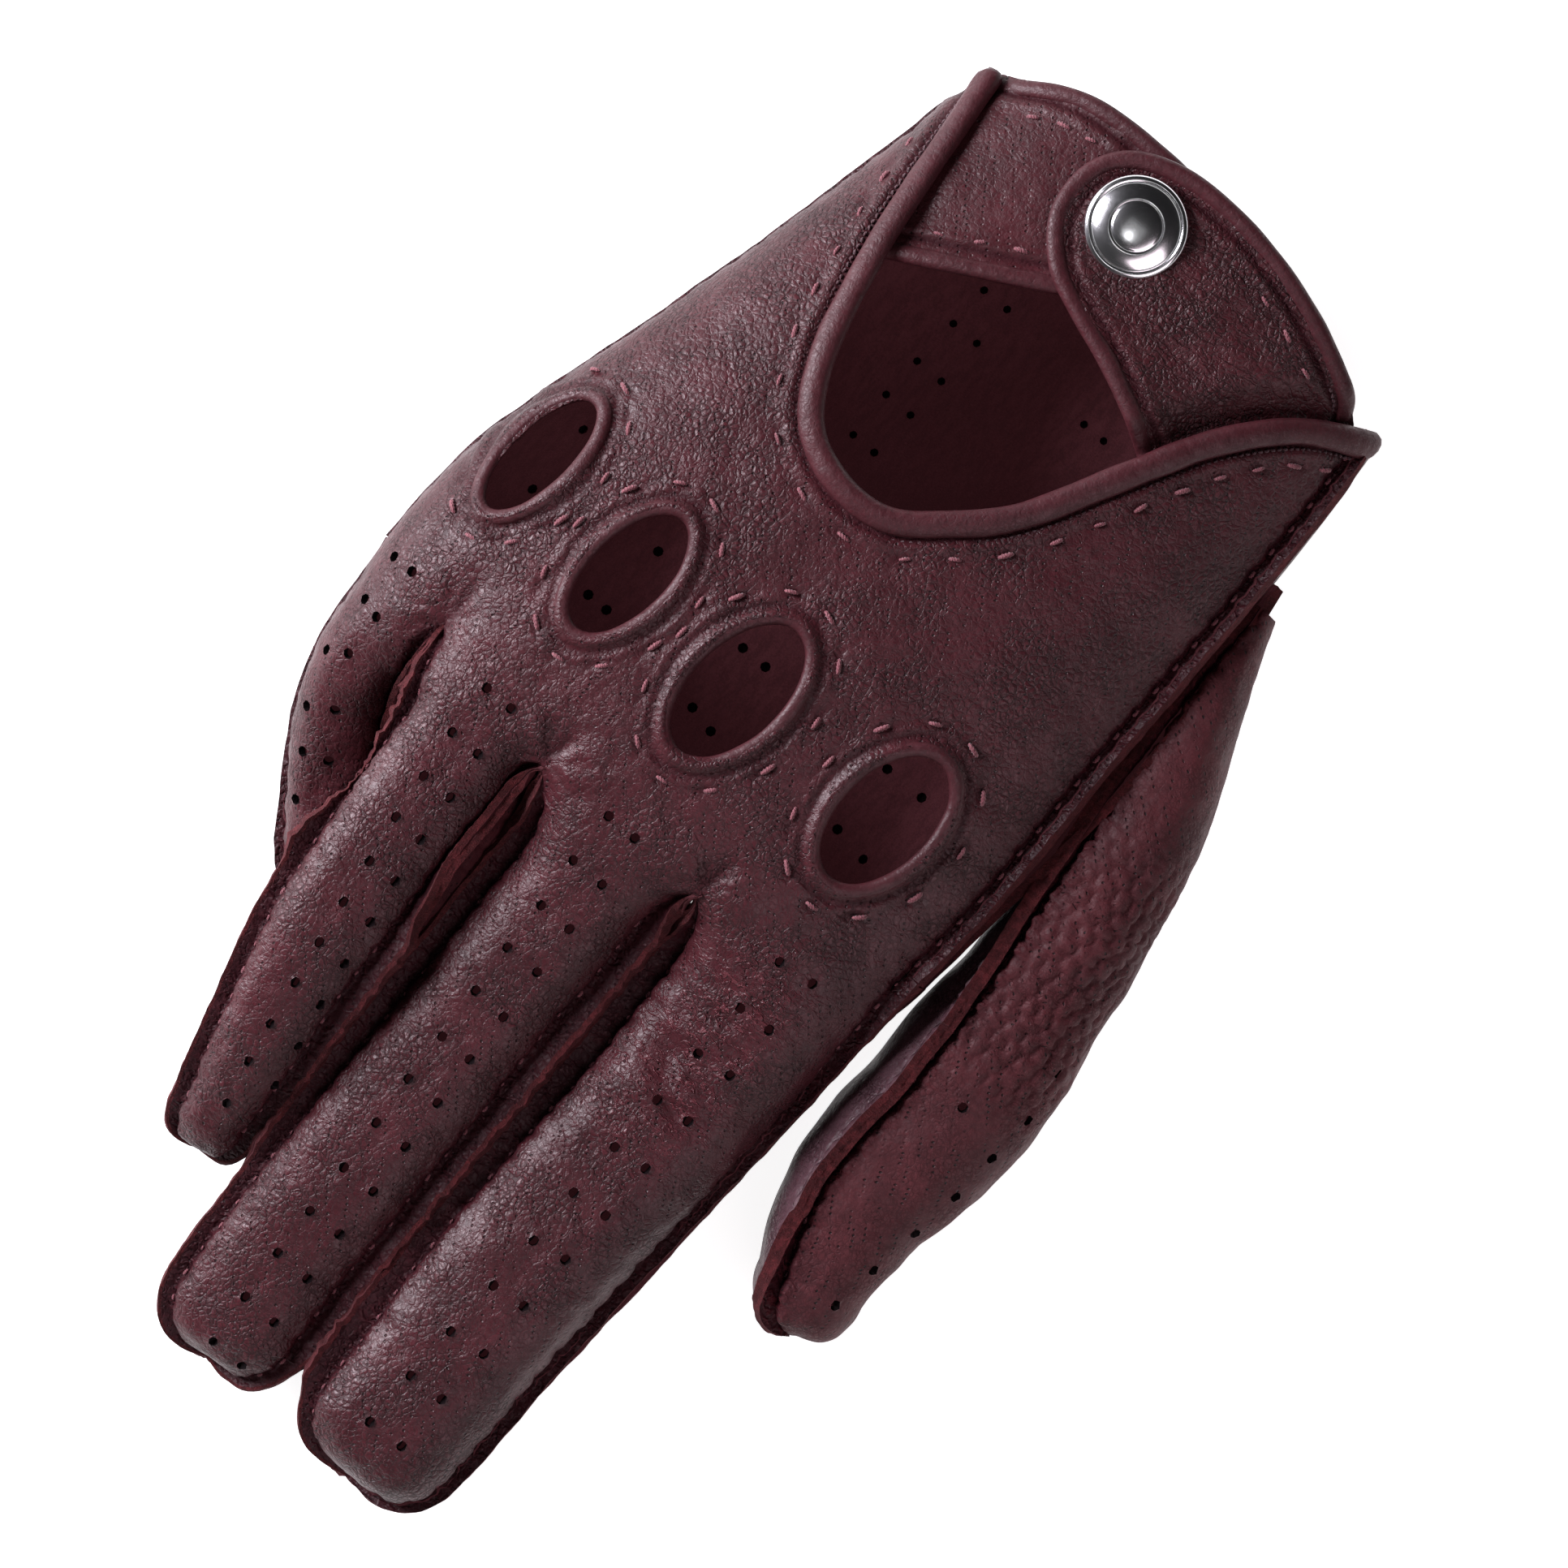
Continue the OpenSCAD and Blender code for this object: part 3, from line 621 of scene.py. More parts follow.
def thread_solid(length, radius, twist=2.4, sides=9, rings=15, bow=0.35):
    """One hand stitch of two-ply thread along X: it rises out of the leather, bows and goes back in."""
    t = np.linspace(-1, 1, rings)
    a = np.linspace(0, 2 * math.pi, sides, endpoint=False)
    body = np.sqrt(np.clip(1 - np.abs(t) ** 3.5, 0.02, 1))
    out = []
    for k in range(rings):
        ply = 1 + 0.24 * np.cos(2 * (a - twist * math.pi * t[k]))
        r = radius * body[k] * ply
        out.append(np.stack([np.full(sides, t[k] * length / 2), r * np.cos(a),
                             r * np.sin(a) + bow * (1 - t[k] ** 2) - 0.22], 1))
    return rings_mesh(np.array(out))


def place(verts, at, along, normal):
    x = unit(along)
    y = unit(np.cross(normal, x))
    return at + verts[:, :1] * x + verts[:, 1:2] * y + verts[:, 2:] * np.cross(x, y)


THREAD = thread_solid(2.5, 0.36)
SHORT_THREAD = thread_solid(1.5, 0.3, bow=0.25)
DOT = thread_solid(0.85, 0.2, twist=0, sides=6, rings=5, bow=0.16)


def stitches(bundle, solid, points, alongs, ups, mat=0, scale=None):
    for k in range(len(points)):
        f = 1 if scale is None else scale[k]
        bundle.add(place(solid[0] * f, points[k], alongs[k], ups[k]), solid[1], mat)


# ---------------------------------------------------------------- materials
class Nodes:
    """Short way to write the nodes of a tree.

    An input is given by its name, with _ for a space, or as i and its number.
    """

    def __init__(self, tree):
        self.tree = tree

    def node(self, kind, settings=None, **inputs):
        n = self.tree.nodes.new("ShaderNode" + kind)
        for k, v in (settings or {}).items():
            setattr(n, k, v)
        for k, v in inputs.items():
            numbered = k[0] == "i" and k[1:].isdigit()
            self.put(n.inputs[int(k[1:]) if numbered else k.replace("_", " ")], v)
        return n

    def put(self, socket, value):
        if isinstance(value, bpy.types.NodeSocket):
            self.tree.links.new(value, socket)
        else:
            socket.default_value = value

    def attr(self, name, what="Vector"):
        return self.node("Attribute", {"attribute_name": name}).outputs[what]

    def math(self, op, a, b=0.0, c=0.0, clamp=False):
        return self.node("Math", {"operation": op, "use_clamp": clamp}, i0=a, i1=b, i2=c).outputs[0]

    def mul(self, a, b, clamp=False):
        return self.math("MULTIPLY", a, b, clamp=clamp)

    def mad(self, a, b, c, clamp=False):
        """a times b plus c."""
        return self.math("MULTIPLY_ADD", a, b, c, clamp)

    def stretch(self, a, by):
        return self.vmath("MULTIPLY", a, by)

    def vmath(self, op, a, b=(0, 0, 0), out=0, scale=None):
        n = self.node("VectorMath", {"operation": op}, i0=a, i1=b)
        if scale is not None:
            self.put(n.inputs["Scale"], scale)
        return n.outputs[out]

    def ramp(self, value, lo, hi, to_lo=0.0, to_hi=1.0):
        return self.node("MapRange", {"interpolation_type": "SMOOTHSTEP"}, Value=value, From_Min=lo,
                         From_Max=hi, To_Min=to_lo, To_Max=to_hi).outputs[0]

    def mix(self, factor, a, b, blend="MIX"):
        n = self.node("Mix", {"data_type": "RGBA", "blend_type": blend})
        self.put(n.inputs[0], factor)
        self.put(n.inputs[6], a)
        self.put(n.inputs[7], b)
        return n.outputs[2]

    def noise(self, vector, scale, detail=3.0, rough=0.55, what=0):
        return self.node("TexNoise", Vector=vector, Scale=scale, Detail=detail,
                         Roughness=rough).outputs[what]

    def voronoi(self, vector, scale, feature="F1", what="Distance", randomness=1.0, dims="3D"):
        return self.node("TexVoronoi", {"feature": feature, "voronoi_dimensions": dims}, Vector=vector,
                         Scale=scale, Randomness=randomness).outputs[what]

    def bump(self, height, strength, distance, normal=None):
        n = self.node("Bump", Height=height, Strength=strength, Distance=distance)
        if normal is not None:
            self.put(n.inputs["Normal"], normal)
        return n.outputs[0]


class Shade(Nodes):
    """A material with its Principled shader."""

    def __init__(self, name):
        self.mat = bpy.data.materials.new(name)
        self.mat.use_nodes = True
        super().__init__(self.mat.node_tree)
        self.bsdf = self.tree.nodes["Principled BSDF"]

    def set(self, **inputs):
        for k, v in inputs.items():
            self.put(self.bsdf.inputs[k.replace("_", " ")], v)


def grey(v):
    return (v, v, v, 1.0)


def leather(name, low, high, crackle=1.0, pores=0.5, creases=0.0, rough=0.38, folds=0.0):
    s = Shade(name)
    rest = s.attr("rest")
    flat = s.attr("flat")
    seam, fold, painted_shade = s.attr("seam", "Fac"), s.attr("fold", "Fac"), s.attr("painted_shade", "Fac")
    wob = s.vmath("SUBTRACT", s.noise(rest, 0.55, 2.0, what=1), (0.5, 0.5, 0.5))
    p = s.vmath("ADD", rest, s.vmath("SCALE", wob, scale=1.5))
    patchy = s.ramp(s.noise(rest, 0.12, 2.0), 0.38, 0.62)
    cells = s.voronoi(p, 0.9, "DISTANCE_TO_EDGE")
    net = s.ramp(cells, 0.0, 0.12)
    pillow = s.ramp(cells, 0.0, 0.5)
    small = s.ramp(s.voronoi(s.stretch(p, (1.0, 0.7, 1.0)), 1.7, "DISTANCE_TO_EDGE"), 0.0, 0.16)
    fine = s.noise(rest, 3.4, 3.0, 0.65)
    soft = s.noise(rest, 0.5, 3.0, 0.6)
    # short rows of pores across the finger
    grid = (0.34, 0.3, 0.0)
    cell = s.node("TexVoronoi", {"voronoi_dimensions": "2D"}, Vector=s.stretch(flat, grid), Scale=1.0,
                  Randomness=0.6)
    local = s.vmath("DIVIDE", s.vmath("SUBTRACT", s.stretch(flat, grid), cell.outputs["Position"]),
                    (0.34, 0.3, 1.0))
    spots = None
    for ox, oy in ((-0.8, 1.12), (-0.28, 0.36), (0.22, -0.38), (0.76, -1.1)):
        d = s.vmath("LENGTH", s.vmath("SUBTRACT", local, (ox, oy, 0.0)), out=1)
        spots = d if spots is None else s.math("MINIMUM", spots, d)
    pore = s.ramp(spots, 0.08, 0.26, 1.0, 0.0)
    chance = s.ramp(s.noise(rest, 0.3, 1.0), 0.4, 0.58)
    pore = s.mul(pore, s.mad(chance, 0.75, 0.25))
    side = s.ramp(s.node("SeparateXYZ", Vector=rest).outputs[0], -10.0, 45.0, 0.0, 0.12)
    strong = s.math("ADD", s.mad(patchy, 0.5, 0.27), side)
    # creases that run across, as thin valleys, and fine raised folds; further down the valleys get painted
    # shade and the folds a painted highlight
    across = s.noise(s.stretch(p, (0.3, 0.95, 0.5)), 0.62, 2.0, 0.5)
    valley = s.ramp(s.math("ABSOLUTE", s.math("SUBTRACT", across, 0.5)), 0.0, 0.055, 1.0, 0.0)
    ridges = s.noise(s.stretch(p, (0.26, 1.0, 0.5)), 0.8, 2.0, 0.5)
    ridge = s.ramp(s.math("ABSOLUTE", s.math("SUBTRACT", ridges, 0.52)), 0.0, 0.045, 1.0, 0.0)
    ridge = s.mul(ridge, s.math("ADD", fold, folds))
    pucker = s.node("TexWave", {"wave_type": "BANDS", "bands_direction": "Y"},
                    Vector=s.vmath("ADD", flat, s.vmath("SCALE", wob, scale=4.0)), Scale=0.2,
                    Distortion=4.5, Detail=2.0, Detail_Scale=0.8).outputs["Fac"]
    pucker = s.mul(s.mul(pucker, s.ramp(s.noise(rest, 0.4, 1.0), 0.35, 0.6, 0.25, 1.0)), seam)
    h = s.mul(s.mad(net, 0.22, s.mul(pillow, 0.36)), s.mul(strong, crackle))
    h = s.mad(small, 0.04 * crackle, h)
    h = s.mad(fine, 0.1, h)
    h = s.mad(soft, 1.0, h)
    h = s.mad(pore, -0.7 * pores, h)
    h = s.mad(valley, -0.8 * creases, h)
    h = s.mad(ridge, 0.8, h)
    h = s.mad(pucker, 1.7, h)
    tint = s.noise(rest, 0.09, 3.0, 0.6)
    mottle = s.noise(rest, 0.9, 4.0, 0.6)
    base = s.mix(s.ramp(s.mad(mottle, 0.55, s.mul(tint, 0.55)), 0.36, 0.74), low, high)
    lines = s.mul(s.math("SUBTRACT", 1.0, s.mul(net, small)), s.mad(patchy, 0.5, 0.32))
    base = s.mix(s.mul(lines, min(1.1 * crackle, 1.0)), base,
                 (low[0] * 0.4, low[1] * 0.25, low[2] * 0.3, 1))
    red = s.ramp(s.noise(rest, 1.7, 3.0), 0.55, 0.75)
    base = s.mix(s.mul(red, 0.35), base, (low[0] * 1.7, low[1] * 0.9, low[2] * 1.0, 1))
    base = s.mix(s.mul(pore, min(0.9 * pores, 1.0), clamp=True), base, (0.009, 0.0015, 0.0025, 1))
    # painted shade in the crease valleys
    base = s.mix(s.mul(valley, 0.5 * creases, clamp=True), base, (0.012, 0.003, 0.004, 1))
    # painted highlight: the fold ridges get a pale lilac tint
    base = s.mix(s.mul(ridge, 0.5, clamp=True), base, (high[0] * 2.2, high[1] * 2.6, high[2] * 2.4, 1))
    # painted shade in the seam valleys, left off the tops of the puckers
    base = s.mix(s.mul(s.math("SUBTRACT", seam, pucker), 0.7, clamp=True), base, (0.012, 0.003, 0.005, 1))
    # painted shade: the base colour goes toward near black where the per-point shade attribute is high
    base = s.mix(s.mul(painted_shade, 0.8, clamp=True), base, (0.02, 0.0035, 0.006, 1))
    gloss = s.mad(s.noise(rest, 0.5, 3.0), 0.2, rough - 0.1)
    gloss = s.mad(lines, 0.25, gloss)
    gloss = s.mad(painted_shade, 0.2, gloss, clamp=True)
    s.set(Base_Color=base, Roughness=gloss, Normal=s.bump(h, 1.0, 0.00024))
    # painted shade on the reflection too: less specular along seams and under the painted shade
    hidden = s.math("MAXIMUM", seam, s.mul(painted_shade, 1.2), clamp=True)
    s.set(Specular_IOR_Level=s.mad(hidden, -0.27, 0.34))
    return s.mat


def fuzzy(name, low, high, sheen=0.5, nap=1.0, ragged=0.0, glow=0.0):
    """The flesh side: short nap with no shine."""
    s = Shade(name)
    rest = s.attr("rest")
    a = s.noise(rest, 3.2, 5.0, 0.7)
    b = s.noise(s.stretch(rest, (1.0, 0.4, 1.0)), 0.7, 3.0, 0.6)
    specks = s.ramp(s.voronoi(rest, 1.6), 0.0, 0.28, 1.0, 0.0)
    base = s.mix(s.ramp(s.mad(b, 0.5, s.mul(a, 0.5)), 0.36, 0.66), low, high)
    base = s.mix(s.mul(specks, 0.25), base, (high[0] * 1.5, high[1] * 1.3, high[2] * 1.3, 1))
    torn = s.ramp(s.noise(rest, 1.1, 4.0, 0.7), 0.42, 0.58)
    base = s.mix(s.mul(torn, ragged), base, (low[0] * 0.3, low[1] * 0.3, low[2] * 0.3, 1))
    s.set(Base_Color=base, Roughness=s.mad(a, 0.15, 0.82),
          Normal=s.bump(s.mad(specks, 0.4, a), 1.0, 0.00028 * nap))
    s.set(Specular_IOR_Level=0.12, Sheen_Weight=sheen, Sheen_Roughness=0.55,
          Sheen_Tint=(0.8, 0.35, 0.38, 1))
    # painted light: a faint emission stands in for light inside the glove
    if glow:
        s.set(Emission_Color=(0.9, 0.24, 0.3, 1), Emission_Strength=glow)
    return s.mat


def cotton(name, low, high):
    s = Shade(name)
    rest = s.attr("rest")
    a = s.noise(rest, 5.0, 4.0, 0.6)
    twist = s.node("TexWave", {"wave_type": "BANDS", "bands_direction": "DIAGONAL"}, Vector=rest, Scale=1.4,
                   Distortion=1.0, Detail=1.0).outputs["Fac"]
    s.set(Base_Color=s.mix(s.mad(twist, 0.5, s.mul(a, 0.5)), low, high),
          Roughness=s.mad(a, 0.2, 0.55), Normal=s.bump(s.math("ADD", a, twist), 0.8, 0.00006))
    s.set(Sheen_Weight=0.25)
    return s.mat


def metal(name, colour, rough, scratch=0.5):
    s = Shade(name)
    geo = s.node("TexCoord").outputs["Object"]
    a = s.noise(s.stretch(geo, (1000, 1000, 1000)), 0.9, 4.0, 0.6)
    fine = s.noise(s.stretch(geo, (300, 5200, 1000)), 1.0, 2.0, 0.5)
    s.set(Base_Color=s.mix(a, colour, tuple(c * 0.86 for c in colour[:3]) + (1,)), Metallic=1.0,
          Roughness=s.mad(a, 0.08, rough), Normal=s.bump(s.math("ADD", a, fine), 0.12 * scratch, 0.00004))
    return s.mat


GRAIN = leather("grain_leather", (0.042, 0.0072, 0.0105, 1), (0.076, 0.0155, 0.021, 1), crackle=1.2,
                pores=1.0)
PLAIN = leather("tab_leather", (0.042, 0.0074, 0.0105, 1), (0.074, 0.0155, 0.0205, 1), crackle=0.45,
                pores=0.9)
# painted sheen: a lighter, greyer copy of the leather that stands in for the light the thumb's inner strip
# catches
PAINTED_SHEEN = leather("inner_thumb_painted_sheen", (0.11, 0.05, 0.062, 1), (0.17, 0.085, 0.105, 1), crackle=1.3)
THUMB = leather("thumb_leather", (0.048, 0.0072, 0.0105, 1), (0.088, 0.0145, 0.0195, 1), crackle=0.5,
                pores=1.3, rough=0.58)
CREASED = leather("strap_leather", (0.042, 0.0075, 0.0105, 1), (0.076, 0.0155, 0.0205, 1), crackle=2.2,
                  pores=0.3, creases=0.6, rough=0.4)
ROLLED = leather("binding_leather", (0.046, 0.0085, 0.012, 1), (0.07, 0.016, 0.021, 1), crackle=0.3,
                 pores=0.0, rough=0.44)
# the lining's glow is painted light on the inside seen through the openings
SUEDE = fuzzy("suede_lining", (0.06, 0.018, 0.022, 1), (0.12, 0.036, 0.044, 1), sheen=0.1, glow=0.016)
EDGE = fuzzy("raw_edge", (0.045, 0.0075, 0.009, 1), (0.125, 0.02, 0.023, 1), sheen=0.15, nap=2.0,
             ragged=0.5)
PINK = cotton("pink_thread", (0.1, 0.02, 0.03, 1), (0.27, 0.075, 0.095, 1))
PLUM = cotton("plum_thread", (0.03, 0.007, 0.012, 1), (0.09, 0.025, 0.035, 1))
# near-black painted shade for the walls of vent holes, folded rims and the palm vent discs
DARK = fuzzy("painted_vent_shade", (0.003, 0.0012, 0.0018, 1), (0.006, 0.002, 0.003, 1), sheen=0.0)
CHROME = metal("chrome", (0.95, 0.95, 0.98, 1), 0.16)
STEEL = metal("snap_steel", (0.62, 0.62, 0.64, 1), 0.22, 1.0)
PANEL = [GRAIN, SUEDE, EDGE]


def finish(obj, body, slot, *nodes, blend=None):
    """Puts a finished piece on its body, or, given a blend, bakes its placement into its mesh and leaves it
    on no body.
    """
    if blend:
        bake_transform(obj)
    else:
        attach(obj, body)
    if nodes:
        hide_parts(*nodes)
    return obj


def at_start(v):
    """True for points on the line where the fingers take over from the hand."""
    return np.abs(v[:, 1] - START_Y) < 0.35


def orient(p):
    """True when a grid's normals point down or inwards and its faces have to turn round."""
    n = normals(p)
    mid = p.reshape(-1, 3).mean(0)
    return (n * (p - mid)).sum(-1).mean() < 0


def raised(p, h):
    """A grid moved out by h along its own normals, whichever way its rows run."""
    n = normals(p)
    return p + (-n if orient(p) else n) * h[..., None]


# ---------------------------------------------------------------- the back of the hand
def cut_grid(p, allowed, outline, raise_z):
    """Keeps a grid's cells that are inside the panel, and moves the corners on its edge onto the outline."""
    count = allowed[:-1, :-1].astype(int) + allowed[:-1, 1:] + allowed[1:, 1:] + allowed[1:, :-1]
    keep = count >= 2
    touched = np.zeros(allowed.shape, bool)
    for i, j in ((0, 0), (0, 1), (1, 1), (1, 0)):
        touched[i:i + keep.shape[0], j:j + keep.shape[1]] |= keep
    move = touched & ~allowed
    rc = np.argwhere(move)
    for r, c in rc:
        d = np.linalg.norm(outline - p[r, c, :2], axis=1)
        q = outline[d.argmin()]
        lift = p[r, c, 2] - raise_z(p[r, c, 0], p[r, c, 1])
        p[r, c] = [q[0], q[1], raise_z(q[0], q[1]) + lift]
    return p, keep


def hand_back():
    ys = np.linspace(BACK_END_Y, START_Y, int((START_Y - BACK_END_Y) / GRID_STEP))
    cols = 200
    p = np.array([hand_arc(y, True, None, None, cols) for y in ys])
    s = ys[:, None] + 0 * p[..., 0]
    dl, dr = seam_distance(p)
    h, dark = top_relief(p)
    for d in (dl, dr):
        hh, dd = seam_relief(d, s)
        h, dark = h + hh, dark + dd
    p = p + normals(p) * np.sign(normals(p)[..., 2:].mean()) * h[..., None]
    x, y = p[..., 0], p[..., 1]
    allowed = ~inside(x, y, OPENING)
    outline = [WRIST_LINE]
    for hole in HOLES.values():
        d, _ = hole_distance(hole, x, y)
        allowed &= d > 0
        outline.append(oval(hole, 0, np.linspace(0, 2 * math.pi, 160, endpoint=False)))
    p, keep = cut_grid(p, allowed, np.vstack(outline), top_z)
    # the raw edges beside both long seams
    wide = 2.2 * smooth((ys + 109) / 12)
    left, _ = flange(p[:, 0], -1, wide * 1.14, np.full(len(ys), INDEX_SIDE_TILT), RAW_COLS)
    right, _ = flange(p[:, -1], 1, wide * 0.8, np.full(len(ys), LITTLE_SIDE_TILT), RAW_COLS)
    full = np.concatenate([left[:, ::-1], p, right], 1)
    keep = widen(keep, RAW_COLS)
    # painted shade over the raw edges, with the seam mask below; the folded right-hand rim is painted
    # near-black
    dark = pad(dark, 0.15, 0.15, RAW_COLS)
    near = gauss(np.minimum(dl, dr), 2.3)
    near = pad(near, 0.5, 0.5, RAW_COLS)
    flat = np.stack([seam_distance(full)[0], full[..., 1], 0 * full[..., 0]], -1)
    obj = add_grid("hand_back_leather", full, PANEL, keep, dark, flip=orient(p), flat=flat,
                   open_at=at_start, seam=near, vent=folded_edge(dark))
    return finish(obj, "hand", "grain_leather", "back_hand"), p, ys


hand_piece, hand_grid, hand_ys = hand_back()
hand_across = seam_distance(hand_grid)[0][-1] + 2.2


def hem_y(x):
    """The palm's lower hem, which rises under the root of the strap."""
    return HEM_Y + 4.6 * smooth((-20 - x) / 16)


def hand_palm():
    ys = np.linspace(PALM_END_Y, START_Y, int((START_Y - PALM_END_Y) / PALM_STEP))
    p = np.array([hand_arc(y, False, None, None, 150) for y in ys])
    h = 0.35 * noise(p, 17, 21) + 0.15 * noise(p, 6, 22)
    dl, dr = seam_distance(p)
    s = ys[:, None] + 0 * p[..., 0]
    dark = np.zeros(p.shape[:2])
    for d in (dl, dr):
        hh, dd = seam_relief(d, s)
        h, dark = h + hh, dark + dd
    p = raised(p, h)
    p[..., 2] = np.maximum(p[..., 2], 0.03)
    keep = np.ones((len(ys) - 1, 149), bool)
    spots = [(18, -53.5), (21.8, -53.7), (17.6, -61), (21.9, -60.9), (17, -68.4), (21.4, -68.4),
             (16.6, -75.8), (21, -76),
             (16.5, -82.2), (20.8, -82.4), (-7, -76.7), (-3, -77.2), (-19.8, -7), (-13.8, -7.3),
             (-20.2, -19), (-14, -19),
             (10, -7), (9.6, -18.8), (14.6, -7.4), (14.2, -19.2), (32.8, -10.4), (33, -21.7), (36.6, -10.6),
             (53.6, -17.3), (53.3, -28.8)]
    # near-black discs just inside each palm vent: painted shade
    shade_discs = Bundle()
    a = np.linspace(0, 2 * math.pi, 10, endpoint=False)
    for cx, cy in spots:
        d = np.hypot(p[..., 0] - cx, p[..., 1] - cy) + 99 * (p[..., 2] > 14)
        r, c = np.unravel_index(d.argmin(), d.shape)
        at, inward = p[r, c].copy(), unit(np.cross(p[r, c + 2] - p[r, c - 2], p[r + 2, c] - p[r - 2, c]))
        inward = inward * (1 if inward[2] > 0 else -1)
        size = 0.62 if cy < -50 else 0.8
        p, keep, _ = with_vents(p, keep, [tuple(at[:2])], size, low=np.zeros(len(ys)), sink=0.0)
        u = unit(np.cross(inward, [0.0, 1.0, 0.0]))
        ring = at + (u * np.cos(a)[:, None] + np.cross(inward, u) * np.sin(a)[:, None]) * 1.5 + inward * 0.3
        shade_discs.add(np.vstack([ring, ring + inward * 0.12]),
                  rings_mesh(np.stack([ring, ring + inward * 0.12]))[1])
    finish(shade_discs.make("palm_vent_shadows", [DARK]), "hand", "suede")
    wide = 2.1 * smooth((ys + 105) / 12)
    left, _ = flange(p[:, 0], -1, wide * 1.1, np.full(len(ys), INDEX_SIDE_TILT), RAW_COLS, under=UNDER,
                     seed=15)
    right, _ = flange(p[:, -1], 1, wide * 0.8, np.full(len(ys), LITTLE_SIDE_TILT), RAW_COLS, under=UNDER,
                      seed=16)
    x, y = p[:-1, :-1, 0], ys[:-1, None]
    keep &= ~((dr[:-1, :-1] < 4) & (y < -102.4)) & ~((x < -22) & (y < hem_y(x)))
    full = np.concatenate([left[:, ::-1], p, right], 1)
    keep = widen(keep, RAW_COLS)
    # painted shade over the raw edges; the folded right-hand rim is painted near-black
    dark = pad(dark, 0.3, 0.3, RAW_COLS)
    obj = add_grid("palm_leather", full, PANEL, keep, dark, flip=orient(p), open_at=at_start,
                   vent=folded_edge(dark))
    return finish(obj, "hand", "grain_leather", "palm_hand")


hand_palm()


def tube(name, node, line, lateral, normal, half_width, half_height, rough, grain, seed, closed=False):
    """A roll of leather along a line, a little uneven."""
    a = np.linspace(0, 2 * math.pi, 14, endpoint=False)
    uneven = 1 + rough * noise(line, grain, seed)
    prof = np.stack([np.cos(a) * half_width, np.sin(a) * half_height], 1)[None] * uneven[:, None, None]
    obj = plain_mesh(name, *rings_mesh(sweep(line, prof, lateral, normal), closed), [ROLLED])
    return finish(obj, "hand", "grain_leather", node)


# ---------------------------------------------------------------- knuckle holes
def knuckle(name, hole):
    xy = even(oval(hole, 0.95, np.linspace(0, 2 * math.pi, 300, endpoint=False)), n=96, closed=True)
    line = on_top(xy, -0.05)
    normal = top_normal(xy)
    along = unit(np.roll(line, -1, 0) - np.roll(line, 1, 0))
    tube(f"knuckle_ring_{name}", f"knuckle_binding_{name}", line, unit(np.cross(along, normal)), normal,
         1.15, 0.95, 0.08, 3.5, 31, closed=True)


bundle = Bundle()
for name, hole in HOLES.items():
    knuckle(name, hole)
    t = np.arange(11) * 2 * math.pi / 11
    for k in t:
        xy = oval(hole, 4.9, np.array([k - 0.02, k, k + 0.02]))
        if xy[1, 0] > 60.5:
            continue
        pts = on_top(xy, 0.12)
        stitches(bundle, THREAD, pts[1:2], [pts[2] - pts[0]], top_normal(xy[1:2]),
                 scale=[0.95 + 0.1 * math.sin(k * 7)])
finish(bundle.make("knuckle_threads", [PINK]), "hand", "thread", "knuckle_stitches")


# ---------------------------------------------------------------- bound edges
def bound_edge(name, xy, slot_nodes, body, height, width=1.3, lip=1.0, swell=0.0, blend=None):
    """A rolled binding along an edge with its machine stitching in the groove beside it."""
    line = on_top(xy) + top_normal(xy) * np.reshape(height, (-1, 1))
    normal = top_normal(xy)
    along = unit(np.gradient(line, axis=0))
    lateral = unit(np.cross(along, normal))
    prof = np.array([[2.0, -0.5], [2.15, 0.05], [1.9, 0.62], [1.35, 1.02], [0.5, 1.3], [-0.35, 1.22],
                     [-0.95, 0.8],
                     [-1.2, 0.1], [-1.0, -0.7], [-0.4, -1.15], [0.6, -1.15],
                     [1.5, -0.95]]) * [width / 1.55, lip / 1.25]
    wob = 1 + 0.06 * noise(line, 4.0, 41)[:, None, None]
    count = np.minimum(np.arange(len(line)), np.arange(len(line))[::-1])
    near = np.minimum(count / 2.5, 1)
    taper = (np.sqrt(1 - (1 - near) ** 2) * 0.97 + 0.03) * (1 + swell * gauss(count, 9))
    rings = sweep(line, prof[None] * wob * taper[:, None, None], lateral, normal)[:, ::-1]
    bundle = Bundle()
    bundle.add(*rings_mesh(rings), 0)
    s = run_of(line)
    at = np.arange(2.0, s[-1] - 2.0, 1.06)
    groove = line + lateral * (2.75 * width / 1.55) + normal * -0.28
    pts = pick(at, s, groove)
    al = pick(at, s, along)
    nn = pick(at, s, normal)
    la = np.cross(nn, al)
    slant = al + la * 0.35 * np.where(np.arange(len(at)) % 2, 1, -1)[:, None]
    stitches(bundle, DOT, pts, slant, nn, 1)
    obj = bundle.make(name, [ROLLED, PLUM])
    finish(obj, body, "grain_leather", *slot_nodes, blend=blend)
    return line, lateral, along


wrist_edge = bound_edge("wrist_roll", WRIST_LINE, ["wrist_binding"], "hand", 0.15, width=1.85, lip=1.3,
                        swell=0.25)


